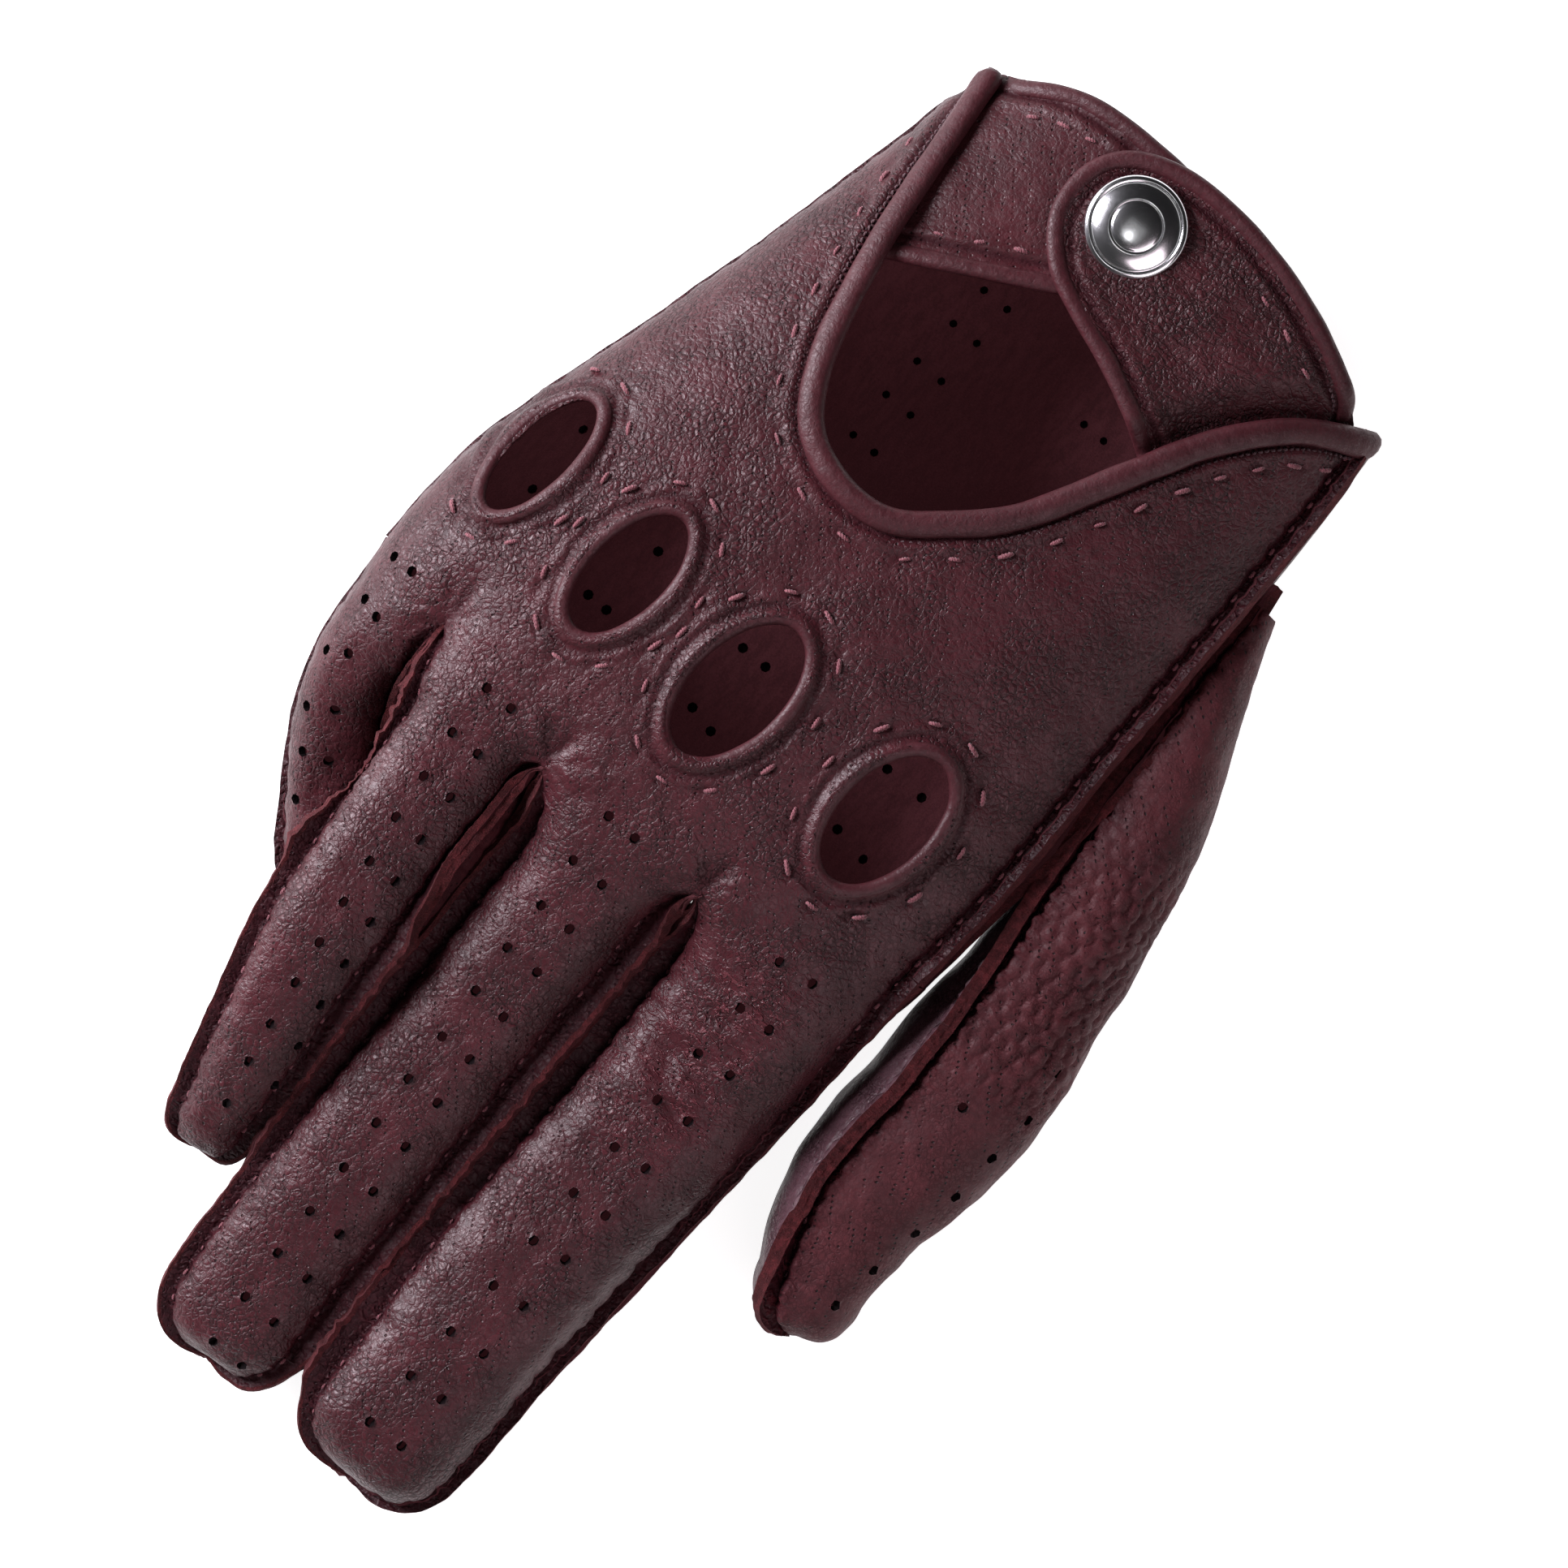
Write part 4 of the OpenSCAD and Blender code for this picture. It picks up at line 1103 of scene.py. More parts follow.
def inset_threads(name, edge, inset, first, last, pitch, body, nodes, lift=0.05, blend=None):
    """Hand stitches beside a bound edge."""
    line, lateral, along = edge
    bundle = Bundle()
    s = run_of(line)
    rail = line + lateral * inset
    at = np.arange(first, s[-1] - last, pitch)
    pts = pick(at, s, rail)
    base = top_z(pts[:, 0], pts[:, 1])
    pts[:, 2] = np.where(np.abs(base - pts[:, 2]) < 3, base + lift, pts[:, 2])
    jig = 0.18 * np.sin(np.arange(len(at)) * 2.4)[:, None]
    stitches(bundle, THREAD, pts, pick(at, s, along) + pick(at, s, lateral) * jig, top_normal(pts[:, :2]),
             scale=0.86 + 0.14 * np.sin(np.arange(len(at)) * 1.7))
    return finish(bundle.make(name, [PINK]), body, "thread", *nodes, blend=blend)


inset_threads("wrist_threads", wrist_edge, 5.7, 16, 6, WRIST_PITCH, "hand", ["wrist_stitches"])

row = hand(-103.0)
hem_g = np.radians(np.linspace(INDEX_SEAM + 16, 344 + LITTLE_SEAM, 160))
hem = np.stack([row[0] + (row[2] - 1.0) * power(np.cos(hem_g)), np.full(160, HEM_Y),
                np.maximum(row[1] + (row[3] + np.where(np.sin(hem_g) > 0, 0, 3) - 1.0)
                           * power(np.sin(hem_g)), 1.35)], 1)
hem[:, 1] = hem_y(hem[:, 0])
hem = even(hem, step=0.9)
al = unit(np.gradient(hem, axis=0))
lat = np.tile([0.0, -1.0, 0.0], (len(hem), 1))
tube("palm_hem_roll", "palm_hem_binding", hem, lat, np.cross(al, lat), 1.5, 1.2, 0.06, 4, 51)


# ---------------------------------------------------------------- strap and tab
def patch(name, outline, lift, relief, mats, body, nodes, thick, step=0.55, blend=None, hole=None):
    low, high = outline.min(0) - 1, outline.max(0) + 1
    x, y = np.meshgrid(np.arange(low[0], high[0], step), np.arange(low[1], high[1], step))
    p = on_top(np.stack([x, y], -1))
    p[..., 2] += lift(x, y) if callable(lift) else lift
    h, dark = relief(p)
    allowed = inside(x, y, outline)
    d, _ = line_distance(x, y, outline)
    h = h - 0.5 * gauss(d - 2.6, 0.5) + 0.3 * gauss(d - 3.6, 0.7)
    # painted shade in the groove beside the rolled edge
    dark = dark + 0.85 * gauss(d - 2.6, 0.42)
    p[..., 2] += h * (d > 0.8)
    p, keep = cut_grid(p, allowed, outline, lambda a, b: top_z(a, b))
    if hole:
        keep &= np.hypot(p[:-1, :-1, 0] + step / 2 - SNAP[0], p[:-1, :-1, 1] + step / 2 - SNAP[1]) > hole
    obj = add_grid(name, p, mats, keep, dark, flip=False, thick=thick, flat=p)
    return finish(obj, body, "grain_leather", *nodes, blend=blend)


def strap_relief(p):
    q = p * [0.35, 1.1, 0.3]
    h = 0.22 * noise(q, 2.4, 61) + 0.14 * noise(q + 5, 1.4, 62) + 0.4 * noise(p, 9, 64)
    return h, np.zeros(p.shape[:2])


def tab_relief(p):
    return 0.22 * noise(p, 9, 71) + 0.12 * noise(p * [1, 0.5, 1], 2.8, 72), np.zeros(p.shape[:2])


def clear_of_wrist(x, y):
    """0 where the back of the hand covers the strap, rising to 1 inside the wrist opening."""
    d, _ = line_distance(x, y, WRIST_LINE)
    return smooth((np.where(inside(x, y, OPENING), d, -d) - 0.8) / 6.5)


def strap_lift(x, y):
    return 0.75 - 3.1 * (1 - clear_of_wrist(x, y))


TAB_ROLL_HEIGHT = -2.1
ROOT_LINE = ((-22.4, -92.4, 35), (-14.5, -96.6, 35))
patch("strap_leather", STRAP_LOOP, strap_lift, strap_relief, [CREASED, SUEDE, EDGE], "strap",
      ["strap_outer", "strap_lining"], 1.6, blend=ROOT_LINE, hole=SOCKET_RADIUS)
patch("tab_leather", TAB_LOOP, -1.7, tab_relief, [PLAIN, SUEDE, EDGE], "hand", ["under_tab"], 1.1)


def edge_part(outline, first, last):
    """The part of an outline between the points nearest to two places."""
    i, j = (int(np.linalg.norm(outline - np.array(v), axis=1).argmin()) for v in (first, last))
    return outline[i:j] if i < j else np.vstack([outline[i:], outline[:j]])


strap_edge = edge_part(STRAP_LOOP, (-16, -76.4), (-34, -100.4))
tab_edge_low = edge_part(TAB_LOOP, (5, -93), (40.6, -75))
tab_edge_up = edge_part(TAB_LOOP, (39.6, -105.6), (6, -111.6))
strap_high = strap_lift(strap_edge[:, 0], strap_edge[:, 1]) - 0.4
rolled = bound_edge("strap_roll", strap_edge, ["strap_binding"], "strap", strap_high, blend=ROOT_LINE)
inset_threads("strap_threads", rolled, 4.9, 88, 9, 6.4, "strap", ["strap_stitches"], lift=0.85,
              blend=ROOT_LINE)
rolled = bound_edge("tab_roll_outer", tab_edge_up, ["tab_binding"], "hand", TAB_ROLL_HEIGHT)
inset_threads("tab_threads_outer", rolled, 4.9, 8, 12, 5.6, "hand", ["tab_stitches"], lift=-1.6)
rolled = bound_edge("tab_roll_inner", tab_edge_low, [], "hand", TAB_ROLL_HEIGHT)
inset_threads("tab_threads_inner", rolled, 4.4, 9, 9, 6.2, "hand", [], lift=-1.6)


# ---------------------------------------------------------------- fingers
def tilt_of(y, table):
    return np.interp(y, [t[0] for t in table], [t[1] for t in table])


VENTS = {
    "index": [(x0 + (x1 - x0) * k / 10, 12 + 9 * k + (0.5 if x0 > -22 else 0))
              for x0, x1 in ((-25, -22.6), (-19.6, -17)) for k in range(11)],
    "middle": [(x0 + (x1 - x0) * k / 12, 12 + 8 * k + 0.3) for x0, x1 in ((13.2, 8.3), (8, 2.7))
               for k in range(13)],
    "ring": [(x0 + (x1 - x0) * (k / 10) ** 1.25, 9.5 + 70.5 * (k / 10) ** 0.94)
             for x0, x1 in ((38.6, 29), (33.8, 24.2)) for k in range(11)],
    "little": [(58, 3.6), (61.3, 3.6), (57.5, 12), (60.5, 11), (57.3, 18.4), (60.2, 20), (53.8, 26),
               (57.4, 28.4), (50, 32.6), (53.6, 34), (46, 38), (50, 40), (42.6, 43)],
}
SPEC = {
    # angles of the back, the palm and the side walls; the crotches; the flange tilts by y
    "index": dict(back=(171.6, 28), palm=(172.4, 331.6), right=(28, -28), lc=None, rc="index",
                  left_tilt=((0, 26), (20, 14), (60, 5), (110, 5)), right_tilt=None),
    "middle": dict(back=(152, 28), palm=(208, 332), left=(152, 208), right=(28, -28), lc="index",
                   rc="middle",
                   left_tilt=None, right_tilt=((12, 60), (17, 34), (24, 30), (110, 30))),
    "ring": dict(back=(152, 28), palm=(208, 332), left=(152, 208), right=(28, -28), lc="middle", rc="ring",
                 left_tilt=((12, 80), (16, 88), (34, 82), (46, 28), (60, 10)),
                 right_tilt=((5, 60), (11, 30), (20, 24), (90, 20))),
    "little": dict(back=(152, -7.6), palm=(208, 351.6), left=(152, 208), lc="ring", rc=None,
                   left_tilt=((5, 80), (9, 88), (26, 80), (38, 20), (50, 5)),
                   right_tilt=((0, -38), (30, -30), (46, 5))),
}
BLEND_END = 26.0


ORDER = ["index", "middle", "ring", "little"]


def middle_of(a, b, y):
    """X half way between two fingers at y."""
    if ORDER.index(a) > ORDER.index(b):
        a, b = b, a
    ra, rb = np.array(FINGER_ROWS[a]), np.array(FINGER_ROWS[b])
    right = np.interp(y, ra[:, 1], ra[:, 0] + 0.9 * ra[:, 3])
    left = np.interp(y, rb[:, 1], rb[:, 0] - 0.9 * rb[:, 3])
    return (right + left) / 2


def reach_of(a, b):
    """Y up to which both fingers run side by side."""
    return min(FINGER_ROWS[a][-1][1], FINGER_ROWS[b][-1][1])


def gap_beside(name, sign, line, y):
    """Room between a finger's seam line and the middle of the gap beside it, and where the gap ends."""
    other = ORDER[ORDER.index(name) + sign]
    cx, cy = CROTCH[SPEC[name]["lc" if sign < 0 else "rc"]]
    m = smooth((y - cy) / 16)
    room = np.abs(cx * (1 - m) + middle_of(name, other, y) * m - line[:, 0])
    return room, smooth((y - reach_of(name, other) + 1) / 6)


def raw_edge_shape(name, sign, line, y, end):
    """Width, tilt and thickness of the raw edge beside a gap."""
    cy = CROTCH[SPEC[name]["lc" if sign < 0 else "rc"]][1]
    room, past = gap_beside(name, sign, line, y)
    table = SPEC[name]["left_tilt" if sign < 0 else "right_tilt"]
    grow = smooth((y - cy) / 9)
    if table:
        tilt = tilt_of(y, table)
    else:
        tilt = np.degrees(np.arccos(np.clip((room - 0.25) / 3.1, 0.08, 0.95)))
    level = np.cos(np.radians(tilt))
    limit = 2.9 + 1.7 * smooth((45 - tilt) / 20)
    width = np.minimum((room + 0.1) / np.maximum(level, 0.05), limit)
    width = width * (1 - past) + 2.6 * past
    return width * grow * end, tilt * (1 - past) + 8 * past, np.clip((room - 0.1) / 2, 0.12, THICK)


def finger_palm(name, palm, y, s, left, right, end, blend):
    """The palm side of a finger, with its own raw edges: left and right are their widths, tilts and fades."""
    f = SPEC[name]
    h = 0.3 * noise(palm, 12, 91) + 0.12 * noise(palm, 4, 92)
    dark = np.zeros(palm.shape[:2])
    for d in seam_distance(palm):
        hh, dd = seam_relief(d, s[:, None])
        h, dark = h + hh, dark + dd
    palm = raised(palm, h)
    palm[..., 2] = np.maximum(palm[..., 2], TABLE_GAP)
    low_edge = np.full(len(y), -12.0)
    edges = []
    for sign, col, gap, (width, tilt, fade), seed in ((-1, 0, f["lc"], left, 11),
                                                      (1, -1, f["rc"], right, 12)):
        line = palm[:, col]
        if gap is None:
            edge, _ = flange(line, sign, width * 0.97, tilt, RAW_COLS, under=UNDER, seed=seed)
        else:
            room, _ = gap_beside(name, sign, line, y)
            edge, _ = flange(line, sign, np.minimum(2.3, room + 0.05) * end * fade, low_edge, RAW_COLS,
                             seed=seed)
        edges.append(edge)
    full = np.concatenate([edges[0][:, ::-1], palm, edges[1]], 1)
    # painted shade over the raw edges; the little finger's folded rim is painted near-black
    dark = pad(dark, 0.3, 0.3, RAW_COLS)
    folded = folded_edge(dark) & (name == "little")
    obj = add_grid(f"{name}_palm_leather", full, PANEL, None, dark, flip=orient(palm), open_at=at_start,
                   vent=folded)
    finish(obj, name, "grain_leather", f"{name}_palm", blend=blend)
    return palm


FOURCHETTE = {"index_right": "index_fourchette", "middle_left": "middle_fourchette_index",
              "middle_right": "middle_fourchette_ring", "ring_left": "ring_fourchette_middle",
              "ring_right": "ring_fourchette_little", "little_left": "little_fourchette"}
WALL_COLS = 14


def side_wall(name, where, sign, top, bottom, y, cy, width, tilt, down, layer, blend):
    """The side wall of a finger. Its top edge is the second layer of the raw edge."""
    first = int(np.argmax(y >= cy + 0.4))
    under = 2 * layer + 0.06
    edge, _ = flange(top, sign, width * 0.97, tilt, RAW_COLS, under=under, seed=21)
    _, o = outward(top, sign)
    v = np.linspace(0, 1, WALL_COLS)[None, :, None]
    start = top + down * under[:, None]
    room, past = gap_beside(name, sign, top, y)
    bulge = np.clip(room - 0.3, 0.1, 6.0) * (1 - 0.8 * past)
    wall = start[:, None] * (1 - v) + bottom[:,
                                             None] * v + (o * bulge[:, None])[:, None] * np.sin(math.pi * v)
    wall = wall - (0.15 * np.abs(noise(wall, 5, 95)) * np.sin(math.pi * v[..., 0]))[..., None] * o[:, None]
    grid = np.concatenate([edge[:, ::-1], wall], 1)[first:]
    skin = np.concatenate([np.repeat(layer[:, None], RAW_COLS + 1, 1),
                           np.full((len(y), WALL_COLS - 1), 0.95)], 1)[first:]
    # painted shade over the wall, down in the gap between fingers
    dark = np.concatenate([np.zeros((len(y), RAW_COLS)), np.full((len(y), WALL_COLS), 0.25)], 1)[first:]
    obj = add_grid(f"{name}_side_wall_{where}", grid, [THUMB, SUEDE, EDGE], None, dark, flip=sign < 0,
                   thick=skin)
    finish(obj, name, "suede", FOURCHETTE[f"{name}_{where}"], blend=blend)


def valley_threads(name, seams, blend):
    """Small seam stitches in the valleys. A seam is its line, its side, its crotch's y and its run."""
    b = Bundle()
    for line, sign, cy, s in seams:
        at = np.arange(math.ceil(s[0] / PITCH), int(s[-1] / PITCH)) * PITCH
        t, o = outward(line, sign)
        pts, along, out = pick(at, s, line), pick(at, s, t), pick(at, s, o)
        ok = pts[:, 1] > cy + 2.5
        pts = pts + out * 0.3 + Z * 0.02
        size = 0.8 + 0.2 * np.sin(np.arange(len(at)) * 2.3 + ord(name[0]))
        stitches(b, SHORT_THREAD, pts[ok], along[ok], unit(Z + out * 0.15)[ok], scale=size[ok])
    nodes = ["index_stitches"] if name == "index" else []
    finish(b.make(f"{name}_seam_threads", [PINK]), name, "thread", *nodes, blend=blend)


def finger(name):
    """One finger: its back with the first layer of raw edges, its palm, its side walls and its stitches."""
    f = SPEC[name]
    rows, tip = FINGER_ROWS[name], TIP[name]
    lx = CROTCH[f["lc"]][0] if f["lc"] else None
    rx = CROTCH[f["rc"]][0] if f["rc"] else None
    ly = CROTCH[f["lc"]][1] if f["lc"] else 0
    ry = CROTCH[f["rc"]][1] if f["rc"] else 0
    wide = 2 * rows[1][3]
    back_cols, palm_cols = int(wide * 1.5 / GRID_STEP), max(int(wide * 1.3 / 0.9), 24)
    back, st = strip(rows, tip, f["back"], back_cols, dome=(True, lx, rx, ly, ry), square=FINGER_SQUARE)
    palm, _ = strip(rows, tip, f["palm"], palm_cols, dome=(False, lx, rx, ly, ry), square=FINGER_SQUARE)
    y = st[:, 1]
    blend = ((rows[0][0], 7.0, 18), (rows[0][0], BLEND_END, 18))
    # the leather's own relief
    run_l, run_r = seam_length(back[:, 0]), seam_length(back[:, -1])
    dl, dr = seam_distance(back)
    h, dark = top_relief(back)
    fade_l = smooth((y - ly) / 5) if f["lc"] else np.ones_like(y)
    fade_r = smooth((y - ry) / 5) if f["rc"] else np.ones_like(y)
    for d, s, fade in ((dl, run_l, fade_l), (dr, run_r, fade_r)):
        hh, dd = seam_relief(d, s[:, None])
        h, dark = h + hh * fade[:, None], dark + dd * fade[:, None]
    h += 0.16 * noise(back, 2.2, 81)
    if name == "index":
        q = back * [0.3, 1.0, 0.6] + 0.9 * noise(back, 7, 82)[..., None]
        bx, by = back[..., 0], back[..., 1]
        window = smooth((by - 9) / 9) * (1 - smooth((by - 36) / 20)) * gauss(bx + 19, 9)
        wrinkle = 1 - np.abs(noise(q, 2.4, 83)) * 2.6
        h += window * (0.5 * wrinkle + 0.25 * noise(q, 1.3, 84))
    back = raised(back, h)
    keep = np.ones((back.shape[0] - 1, back.shape[1] - 1), bool)
    back, keep, vent = with_vents(back, keep, VENTS[name])
    # the first layer of the raw edges
    cols = FINGER_RAW_COLS
    end = 1 - 0.25 * smooth((np.arange(len(y)) - (len(y) - 14)) / 14)
    full_thick = np.full(len(y), THICK)
    if f["lc"]:
        width_l, tilt_l, thick_l = raw_edge_shape(name, -1, back[:, 0], y, end)
    else:
        width_l, tilt_l, thick_l = 2.5 * end, tilt_of(y, f["left_tilt"]), full_thick
    if f["rc"]:
        width_r, tilt_r, thick_r = raw_edge_shape(name, 1, back[:, -1], y, end)
    else:
        width_r = 1.76 + 0.7 * smooth((y - 30) / 14)
        tilt_r, thick_r = tilt_of(y, f["right_tilt"]), full_thick
    left, down_l = flange(back[:, 0], -1, width_l, tilt_l, cols, seed=5)
    right, down_r = flange(back[:, -1], 1, width_r, tilt_r, cols, seed=7)
    full = np.concatenate([left[:, ::-1], back, right], 1)
    cells = widen(keep, cols)
    # painted shade over the raw edges, heavier toward the gaps between fingers
    shade = pad(dark, 0.5 if f["lc"] else 0.3, 0.5 if f["rc"] else 0.3, cols)
    near = gauss(dl, 1.9) * fade_l[:, None] + gauss(dr, 1.9) * fade_r[:, None]
    # the seam mask on the raw edges darkens them too, as painted shade
    seam = pad(near, 0.45, 0.45, cols)
    fold = pad(window if name == "index" else 0.12 * np.ones_like(near), 0.0, 0.0, cols)
    vent = pad(vent, False, False, cols)
    # the little finger's outer folded rim is painted near-black as shade
    vent[:, -1] |= name == "little"
    edge_l, edge_r = (np.repeat(a[:, None], cols, 1) for a in (thick_l, thick_r))
    thick = np.concatenate([edge_l, THICK * np.ones_like(near), edge_r], 1)
    cells[:, :cols] &= (width_l[:-1] > 0.15)[:, None]
    cells[:, -cols:] &= (width_r[:-1] > 0.15)[:, None]
    across = seam_distance(full)[0]
    origin = np.interp(lx, hand_grid[-1, :, 0], hand_across) if lx is not None else 0.0
    across = across - across[:, cols:cols + 1] + origin + (0 if lx is not None else hand_across[0])
    flat = np.stack([across, full[..., 1], 0 * across], -1)
    raw = np.zeros(cells.shape, bool)
    raw[:, 0], raw[:, -1] = f["lc"] is not None, f["rc"] is not None
    obj = add_grid(f"{name}_back_leather", full, PANEL, cells, shade, flip=orient(back), flat=flat,
                   open_at=at_start, vent=vent, seam=seam, fold=fold, thick=thick, raw=raw)
    finish(obj, name, "grain_leather", f"{name}_back", f"{name}_root", f"{name}_flange", blend=blend)
    left, right = (width_l, tilt_l, fade_l), (width_r, tilt_r, fade_r)
    palm = finger_palm(name, palm, y, run_l, left, right, end, blend)
    if f["lc"]:
        side_wall(name, "left", -1, back[:, 0], palm[:, 0], y, ly, width_l, tilt_l, down_l, thick_l, blend)
    if f["rc"]:
        side_wall(name, "right", 1, back[:, -1], palm[:, -1], y, ry, width_r, tilt_r, down_r, thick_r,
                  blend)
    valley_threads(name, ((back[:, 0], -1, ly, run_l), (back[:, -1], 1, ry, run_r)), blend)


for name in SPEC:
    finger(name)


# ---------------------------------------------------------------- stitches of the long side seams
for name, line, sign, node in (("index_side_threads", hand_grid[:, 0], -1, "index_side_stitches"),
                               ("little_side_threads", hand_grid[:, -1], 1, "little_side_stitches")):
    b = Bundle()
    at = np.arange(-23, 1) * PITCH
    pts = pick(at, hand_ys, line)
    o = np.tile([sign * 1.0, 0, 0], (len(at), 1))
    stitches(b, SHORT_THREAD, pts + o * 0.4 + Z * 0.15, np.tile([0.0, 1, 0], (len(at), 1)),
             unit(Z + o * 0.6))
    finish(b.make(name, [PINK]), "hand", "thread", node)
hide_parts("index_side_flange", "little_side_flange")


# ---------------------------------------------------------------- thumb
def thumb_seam(y):
    return 48 + 12 * smooth((y + 22) / 30)


def pebbles(u, v):
    """Distance to the borders of a jittered pattern of cells, in cells."""
    row = np.floor(v)
    near = []
    for i in (-1, 0, 1):
        for j in (-1, 0, 1):
            cy, cx = row + i, np.floor(u + 0.5 * ((row + i) % 2)) + j
            jx, jy = np.modf(np.sin(cx * 127.1 + cy * 311.7)
                             * 43.7)[0], np.modf(np.sin(cx * 269.5 + cy * 183.3) * 43.7)[0]
            near.append(np.hypot(cx + 0.5 - 0.5 * (cy % 2) + 0.3 * jx - u, cy + 0.5 + 0.3 * jy - v))
    near = np.sort(near, axis=0)
    return near[1] - near[0]


def first_station(st):
    """The thumb starts at its first row; the stations ahead of that are not part of it."""
    return int(np.argmax(st[:, 1] >= THUMB_ROWS[0][1] - 0.01))


def thumb():
    blend = ((-43, -66, 14), (-48, -34, 14))
    outer, st = strip(THUMB_ROWS, TIP["thumb"], lambda y: (250, thumb_seam(y)), 88, step=GRID_STEP)
    inner, _ = strip(THUMB_ROWS, TIP["thumb"], lambda y: (thumb_seam(y) - 0.5, -109.5), 60, step=GRID_STEP)
    first = first_station(st)
    outer, inner, st = outer[first:], inner[first:], st[first:]
    y = st[:, 1]
    top = outer[:, -1]
    s = seam_length(top)
    dl, dr = seam_distance(outer)
    h = 0.4 * noise(outer, 9, 101) + 0.2 * noise(outer * [1, 0.8, 1], 4, 102) + 0.1 * noise(outer, 2.0, 103)
    hh, dark = seam_relief(dr, s[:, None], 1.7)
    h += hh
    along, over = outer[..., 1], outer[..., 2] - st[:, 2:3]
    low = (1 - smooth((along + 2) / 18)) * smooth((along + 44) / 20) * smooth((over - 2) / 6)
    edge_of = pebbles(dl / 3.1, outer[..., 1] / 2.5)
    h += low * 0.6 * (smooth(edge_of / 0.42) - 0.5)
    # painted shade in the grooves between the quilted pillows
    dark += low * np.exp(-edge_of * 11) * 0.42
    outer = raised(outer, h)
    keep = np.ones((outer.shape[0] - 1, outer.shape[1] - 1), bool)
    spots = [(-62.2, 7), (-61.8, 14.8), (-61.2, 22.6), (-60.2, 30.4), (-59, 38.2), (-58, 45.8),
             (-61.4, -1.2), (-53.6, 11.6)]
    outer, keep, vent = with_vents(outer, keep, spots, low=st[:, 2])
    outer[..., 2] = np.maximum(outer[..., 2], TABLE_GAP)
    cols = FINGER_RAW_COLS
    end = 1 - 0.25 * smooth((np.arange(len(y)) - (len(y) - 12)) / 12)
    w = 2.8 * end * (0.55 + 0.45 * smooth((y + 74) / 20))
    tilt = np.interp(y, [-72, -40, -16, 4, 36, 46, 56], [70, 66, 80, 96, 94, 60, 12])
    rim, _ = flange(outer[:, -1], 1, w, tilt, cols, seed=31)
    away = np.cross(unit(np.gradient(even_out(outer[:, -1]), axis=0)), rim[:, -1] - outer[:, -1])
    away = unit(away)
    away = np.where(away[:, :1] < 0, -away, away)
    full = np.concatenate([outer, rim], 1)
    keep = np.concatenate([keep, np.repeat(keep[:, -1:], cols, 1)], 1)
    ones = np.ones((len(y), cols))
    # painted shade over the raw edge, from both the shade and the seam masks
    shade = np.concatenate([dark, ones * 0.12], 1)
    seam = np.concatenate([gauss(dr, 2.2), ones], 1)
    vent = np.concatenate([vent, ones < 0], 1)
    fold = np.concatenate([0.1 * low, ones * 0], 1)
    obj = add_grid("thumb_outer_leather", full, [THUMB, SUEDE, EDGE], keep, shade, flip=orient(outer),
                   vent=vent, seam=seam, fold=fold)
    finish(obj, "thumb", "grain_leather", "thumb_outer", "thumb_root", "thumb_flange", blend=blend)
    di, _ = seam_distance(inner)
    hi = 0.3 * noise(inner, 8, 111) + 0.25 * noise(inner * [1, 0.6, 1], 3.2, 112)
    hh, dark = seam_relief(di, s[:, None], 1.0)
    inner = raised(inner, hi + hh)
    inner[..., 2] = np.maximum(inner[..., 2], TABLE_GAP)
    rim2 = rim[:, [0, 2, 3, 4]] + away[:, None] * 2.2
    inner[:, 0] = outer[:, -1] + away * 2.2
    full = np.concatenate([rim2[:, ::-1], inner], 1)
    # painted shade in the seam valley of the inner strip
    shade = np.concatenate([np.full((len(y), 4), 0.0), dark], 1)
    # the inner strip wears the lighter copy of the leather, a painted sheen
    obj = add_grid("thumb_inner_leather", full, [PAINTED_SHEEN, SUEDE, EDGE], None, shade, flip=orient(inner))
    finish(obj, "thumb", "grain_leather", "thumb_inner", blend=blend)
    b = Bundle()
    at = np.arange(math.ceil(s[0] / PITCH) + 1, int(s[-1] / PITCH)) * PITCH
    line = outer[:, -1]
    pts = pick(at, s, line)
    t, o = outward(line, 1)
    tangent = pick(at, s, t)
    out = pick(at, s, o)
    stitches(b, SHORT_THREAD, pts - out * 0.3 + Z * 0.3, tangent, unit(Z - out * 0.3))
    finish(b.make("thumb_seam_threads", [PINK]), "thumb", "thread", "thumb_stitches", blend=blend)


thumb()


def gore():
    """The raw edge of the palm's thumb opening, standing beside the thumb."""
    line = even(spline([[-41.0, -76, 19.5], [-42.2, -66, 22], [-42.7, -54, 24], [-42.6, -40, 25],
                        [-41.4, -26, 25], [-39.9, -14, 24.5], [-38.8, -4, 23]],
                       np.linspace(0, 1, 200)), step=0.6)
    t = unit(np.gradient(line, axis=0))
    across = unit(np.cross(t, Z))
    s = seam_length(line)
    w = 1 + 0.25 * noise(np.stack([s, s * 0, s * 0], 1), 5,
                         121) + 0.12 * noise(np.stack([s, s * 0, s * 0], 1), 1.6, 122)
    w *= smooth(np.minimum(s - s[0], s[-1] - s) / 5) * 0.8 + 0.2
    cols = []
    for dx, dz in ((2.4, -3.4), (1.5, -2.6), (0.6, -1.6), (0.1, -0.6), (-0.1, 0.3), (-0.2, 1.1)):
        cols.append(line + across * dx * -1 * np.sign(across[:, :1]) * -1 + Z * (dz * w)[:, None])
    p = np.stack(cols, 1)
    # painted shade over the whole strip
    obj = add_grid("thumb_opening_edge", p, [GRAIN, SUEDE, EDGE], None, np.full(p.shape[:2], 0.3),
                   thick=1.5)
    finish(obj, "hand", "raw_edge", "thumb_base_flange")


gore()


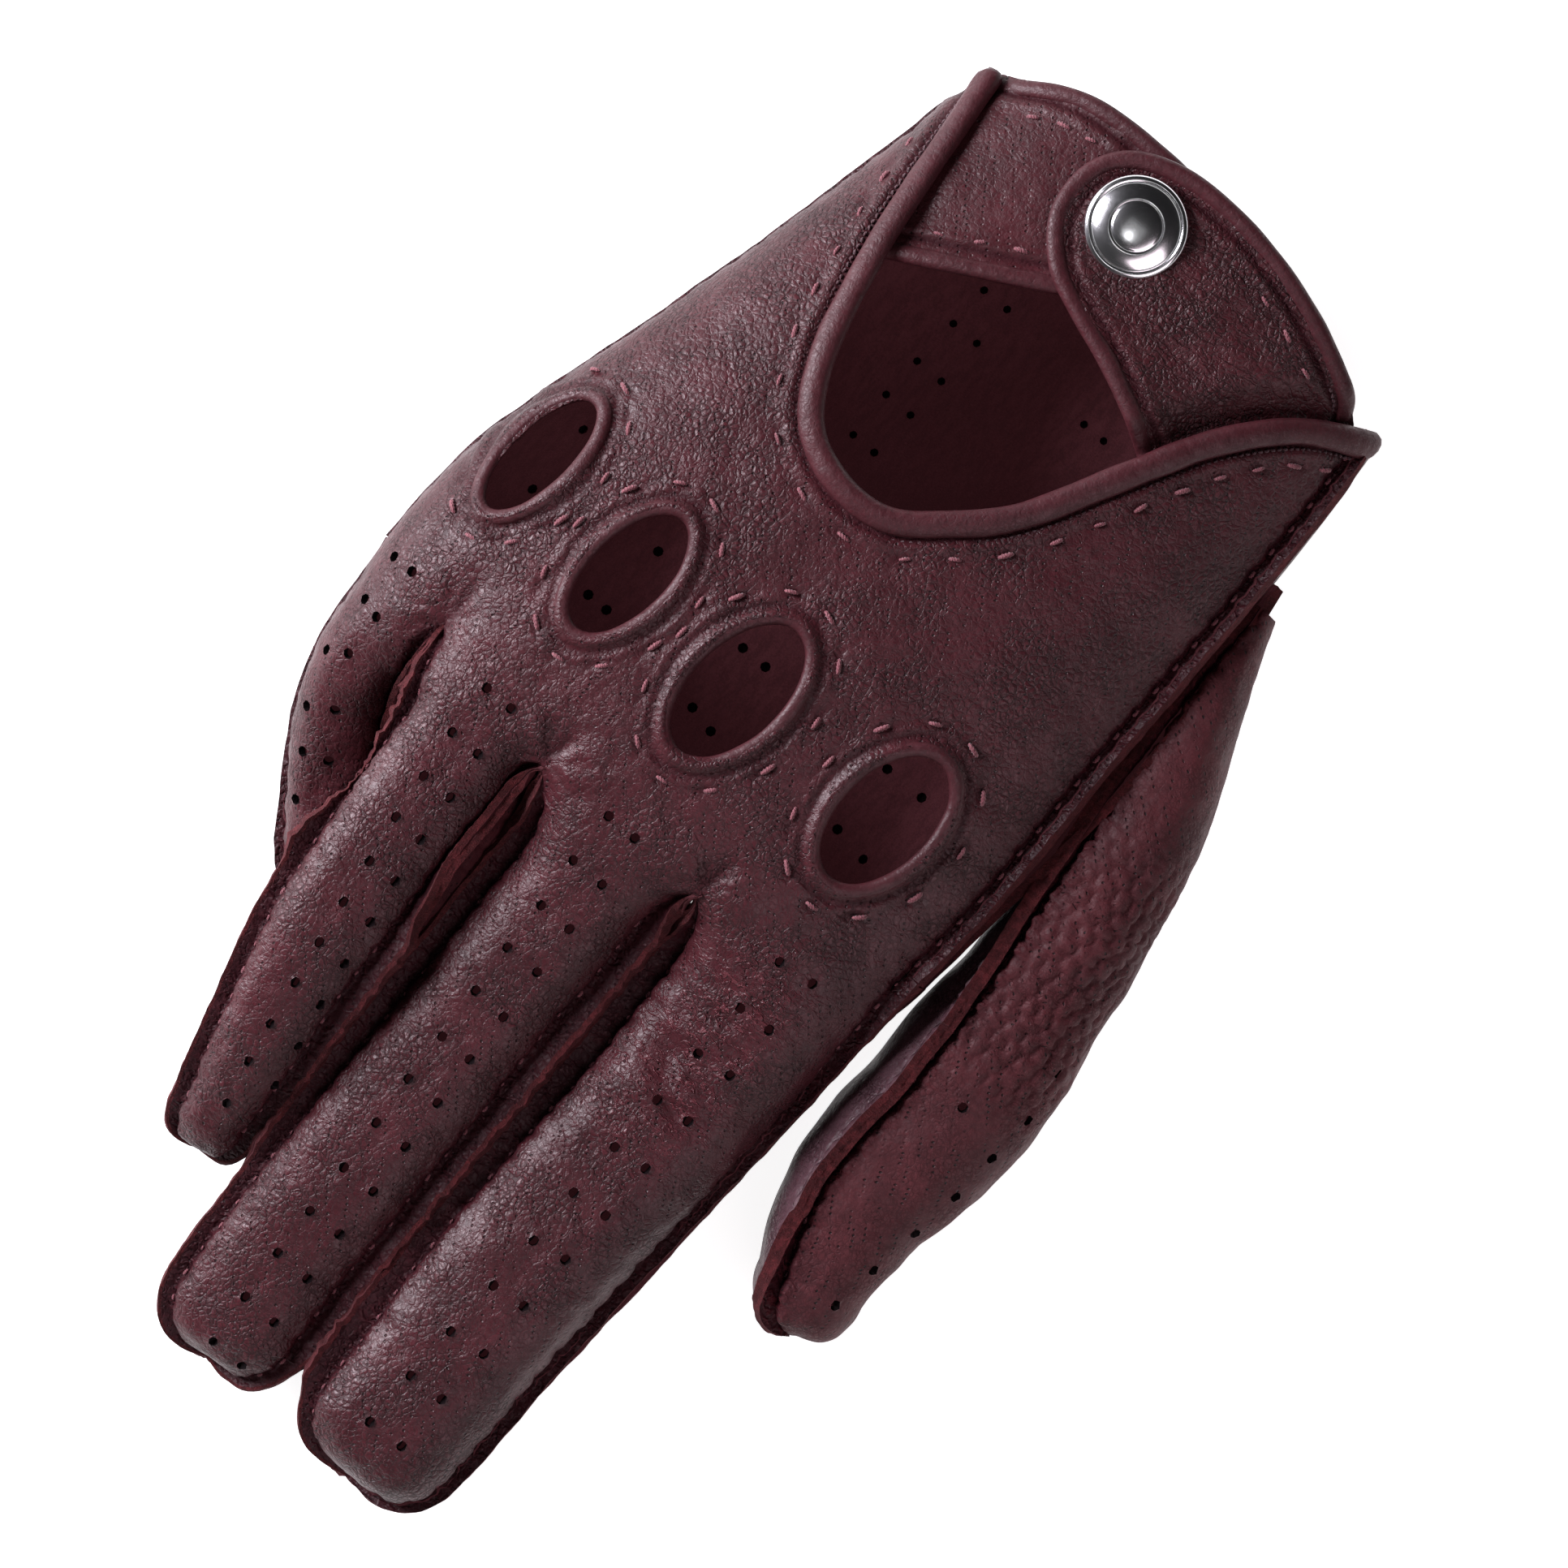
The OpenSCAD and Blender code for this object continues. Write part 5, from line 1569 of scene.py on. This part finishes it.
# ---------------------------------------------------------------- the snap
# The cap is finer than the CAD's. The other parts are the CAD's own, with metal on them.
def lathe(name, profile, centre, mats, body, slot, nodes, sides=96):
    a = np.linspace(0, 2 * math.pi, sides, endpoint=False)
    prof = np.array(profile, float)
    rings = np.stack([np.stack([centre[0] + r * np.cos(a), centre[1] + r * np.sin(a),
                                np.full(sides, centre[2] + z)], 1) for r, z in prof])
    verts, faces = rings_mesh(rings)
    return finish(plain_mesh(name, verts, faces, mats), body, slot, *nodes)


cap_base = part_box("snap_cap")[0].z * 1000
CAP = [(0.02, 0.05), (7.2, 0.05), (7.5, 0.25), (7.6, 0.55), (7.52, 0.85), (7.3, 1.08), (7.05, 1.2),
       (6.85, 1.24), (6.72, 1.2), (6.62, 1.1), (6.5, 1.1),
       (6.4, 1.24), (6.2, 1.38), (5.6, 1.66), (4.9, 1.9), (4.2, 2.08), (3.95, 2.12), (3.82, 2.04),
       (3.66, 2.04), (3.54, 2.16), (3.3, 2.24), (2.4, 2.42),
       (1.4, 2.53), (0.6, 2.58), (0.02, 2.59)]
lathe("snap_cap_polished", CAP, (SNAP[0], SNAP[1], cap_base), [CHROME], "strap", "chrome", ["snap_cap"],
      128)
for n, m in (("snap_stud", STEEL), ("snap_post", STEEL), ("snap_socket", STEEL), ("snap_spring", STEEL)):
    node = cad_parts[n]
    node.data.materials.clear()
    node.data.materials.append(m)


# ---------------------------------------------------------------- floor, light and camera
def stage():
    floor = Shade("floor_paper")
    geo = floor.node("TexCoord").outputs["Object"]
    a = floor.noise(geo, 6.0, 3.0)
    floor.set(Base_Color=floor.mix(a, grey(0.6), grey(0.64)), Roughness=0.9)
    floor.set(Emission_Color=(1, 1, 1, 1), Emission_Strength=0.88)
    mesh = bpy.data.meshes.new("floor")
    mesh.from_pydata([(-3, -3, 0), (3, -3, 0), (3, 3, 0), (-3, 3, 0)], [], [(0, 1, 2, 3)])
    mesh.materials.append(floor.mat)
    obj = bpy.data.objects.new("floor", mesh)
    obj.location.z = -0.0002
    bpy.context.scene.collection.objects.link(obj)
    world = bpy.data.worlds.new("studio")
    world.use_nodes = True
    w = Nodes(world.node_tree)
    axes = w.node("SeparateXYZ", Vector=w.node("TexCoord").outputs["Generated"]).outputs
    # soft sky levels by height and by depth
    level, depth = (w.node("MapRange", Value=axes[axis], From_Min=lo, From_Max=hi, To_Min=to_lo,
                           To_Max=to_hi).outputs[0]
                    for axis, lo, hi, to_lo,
                    to_hi in ((2, 0.4, 1.0, 0.44, 0.18), (1, -0.7, 0.7, 0.45, 1.8)))
    sky = w.mul(level, depth)
    # a white band at the horizon, behind the glove in low views
    horizon = w.ramp(axes[2], 0.07, 0.2, 18.0, 0.0)
    w.put(w.tree.nodes["Background"].inputs["Strength"], w.math("ADD", sky, horizon))
    bpy.context.scene.world = world
    bpy.context.scene.view_settings.view_transform = "Standard"


def lamp(name, direction, distance, size, watts, colour=(1, 1, 1)):
    data = bpy.data.lights.new(name, "AREA")
    data.shape = "RECTANGLE"
    data.size, data.size_y = size
    data.energy = watts
    data.color = colour
    obj = bpy.data.objects.new(name, data)
    bpy.context.scene.collection.objects.link(obj)
    d = unit(np.array(direction, float))
    obj.location = (d * distance).tolist()
    obj.rotation_mode = "QUATERNION"
    from mathutils import Vector
    obj.rotation_quaternion = Vector((-d).tolist()).to_track_quat("-Z", "Y")


stage()
lamp("key_softbox", (0.88, 0.1, 0.46), 1.1, (0.4, 0.8), 28.0, (0.96, 0.93, 1.0))
lamp("fill_softbox", (-0.7, 0.3, 0.8), 1.3, (0.9, 0.9), 5.6, (1.0, 0.86, 0.92))
lamp("overhead_softbox", (0.0, 0.02, 1.0), 1.9, (0.7, 0.7), 0.4)
lamp("window_softbox", (0.02, 0.1, 1.0), 1.5, (0.14, 0.14), 0.4)
camera = bpy.data.cameras.new("camera")
cam = bpy.data.objects.new("camera", camera)
bpy.context.scene.collection.objects.link(cam)
camera.sensor_width = 36.0
CAMERA_HEIGHT = 1.8
camera.lens = 36.0 * (CAMERA_HEIGHT - 0.02) / 0.229
camera.clip_start, camera.clip_end = 0.1, 10
cam.location = (-3.37 * MM, -7.64 * MM, CAMERA_HEIGHT)
cam.rotation_euler = (0, 0, math.radians(220))
bpy.context.scene.camera = cam
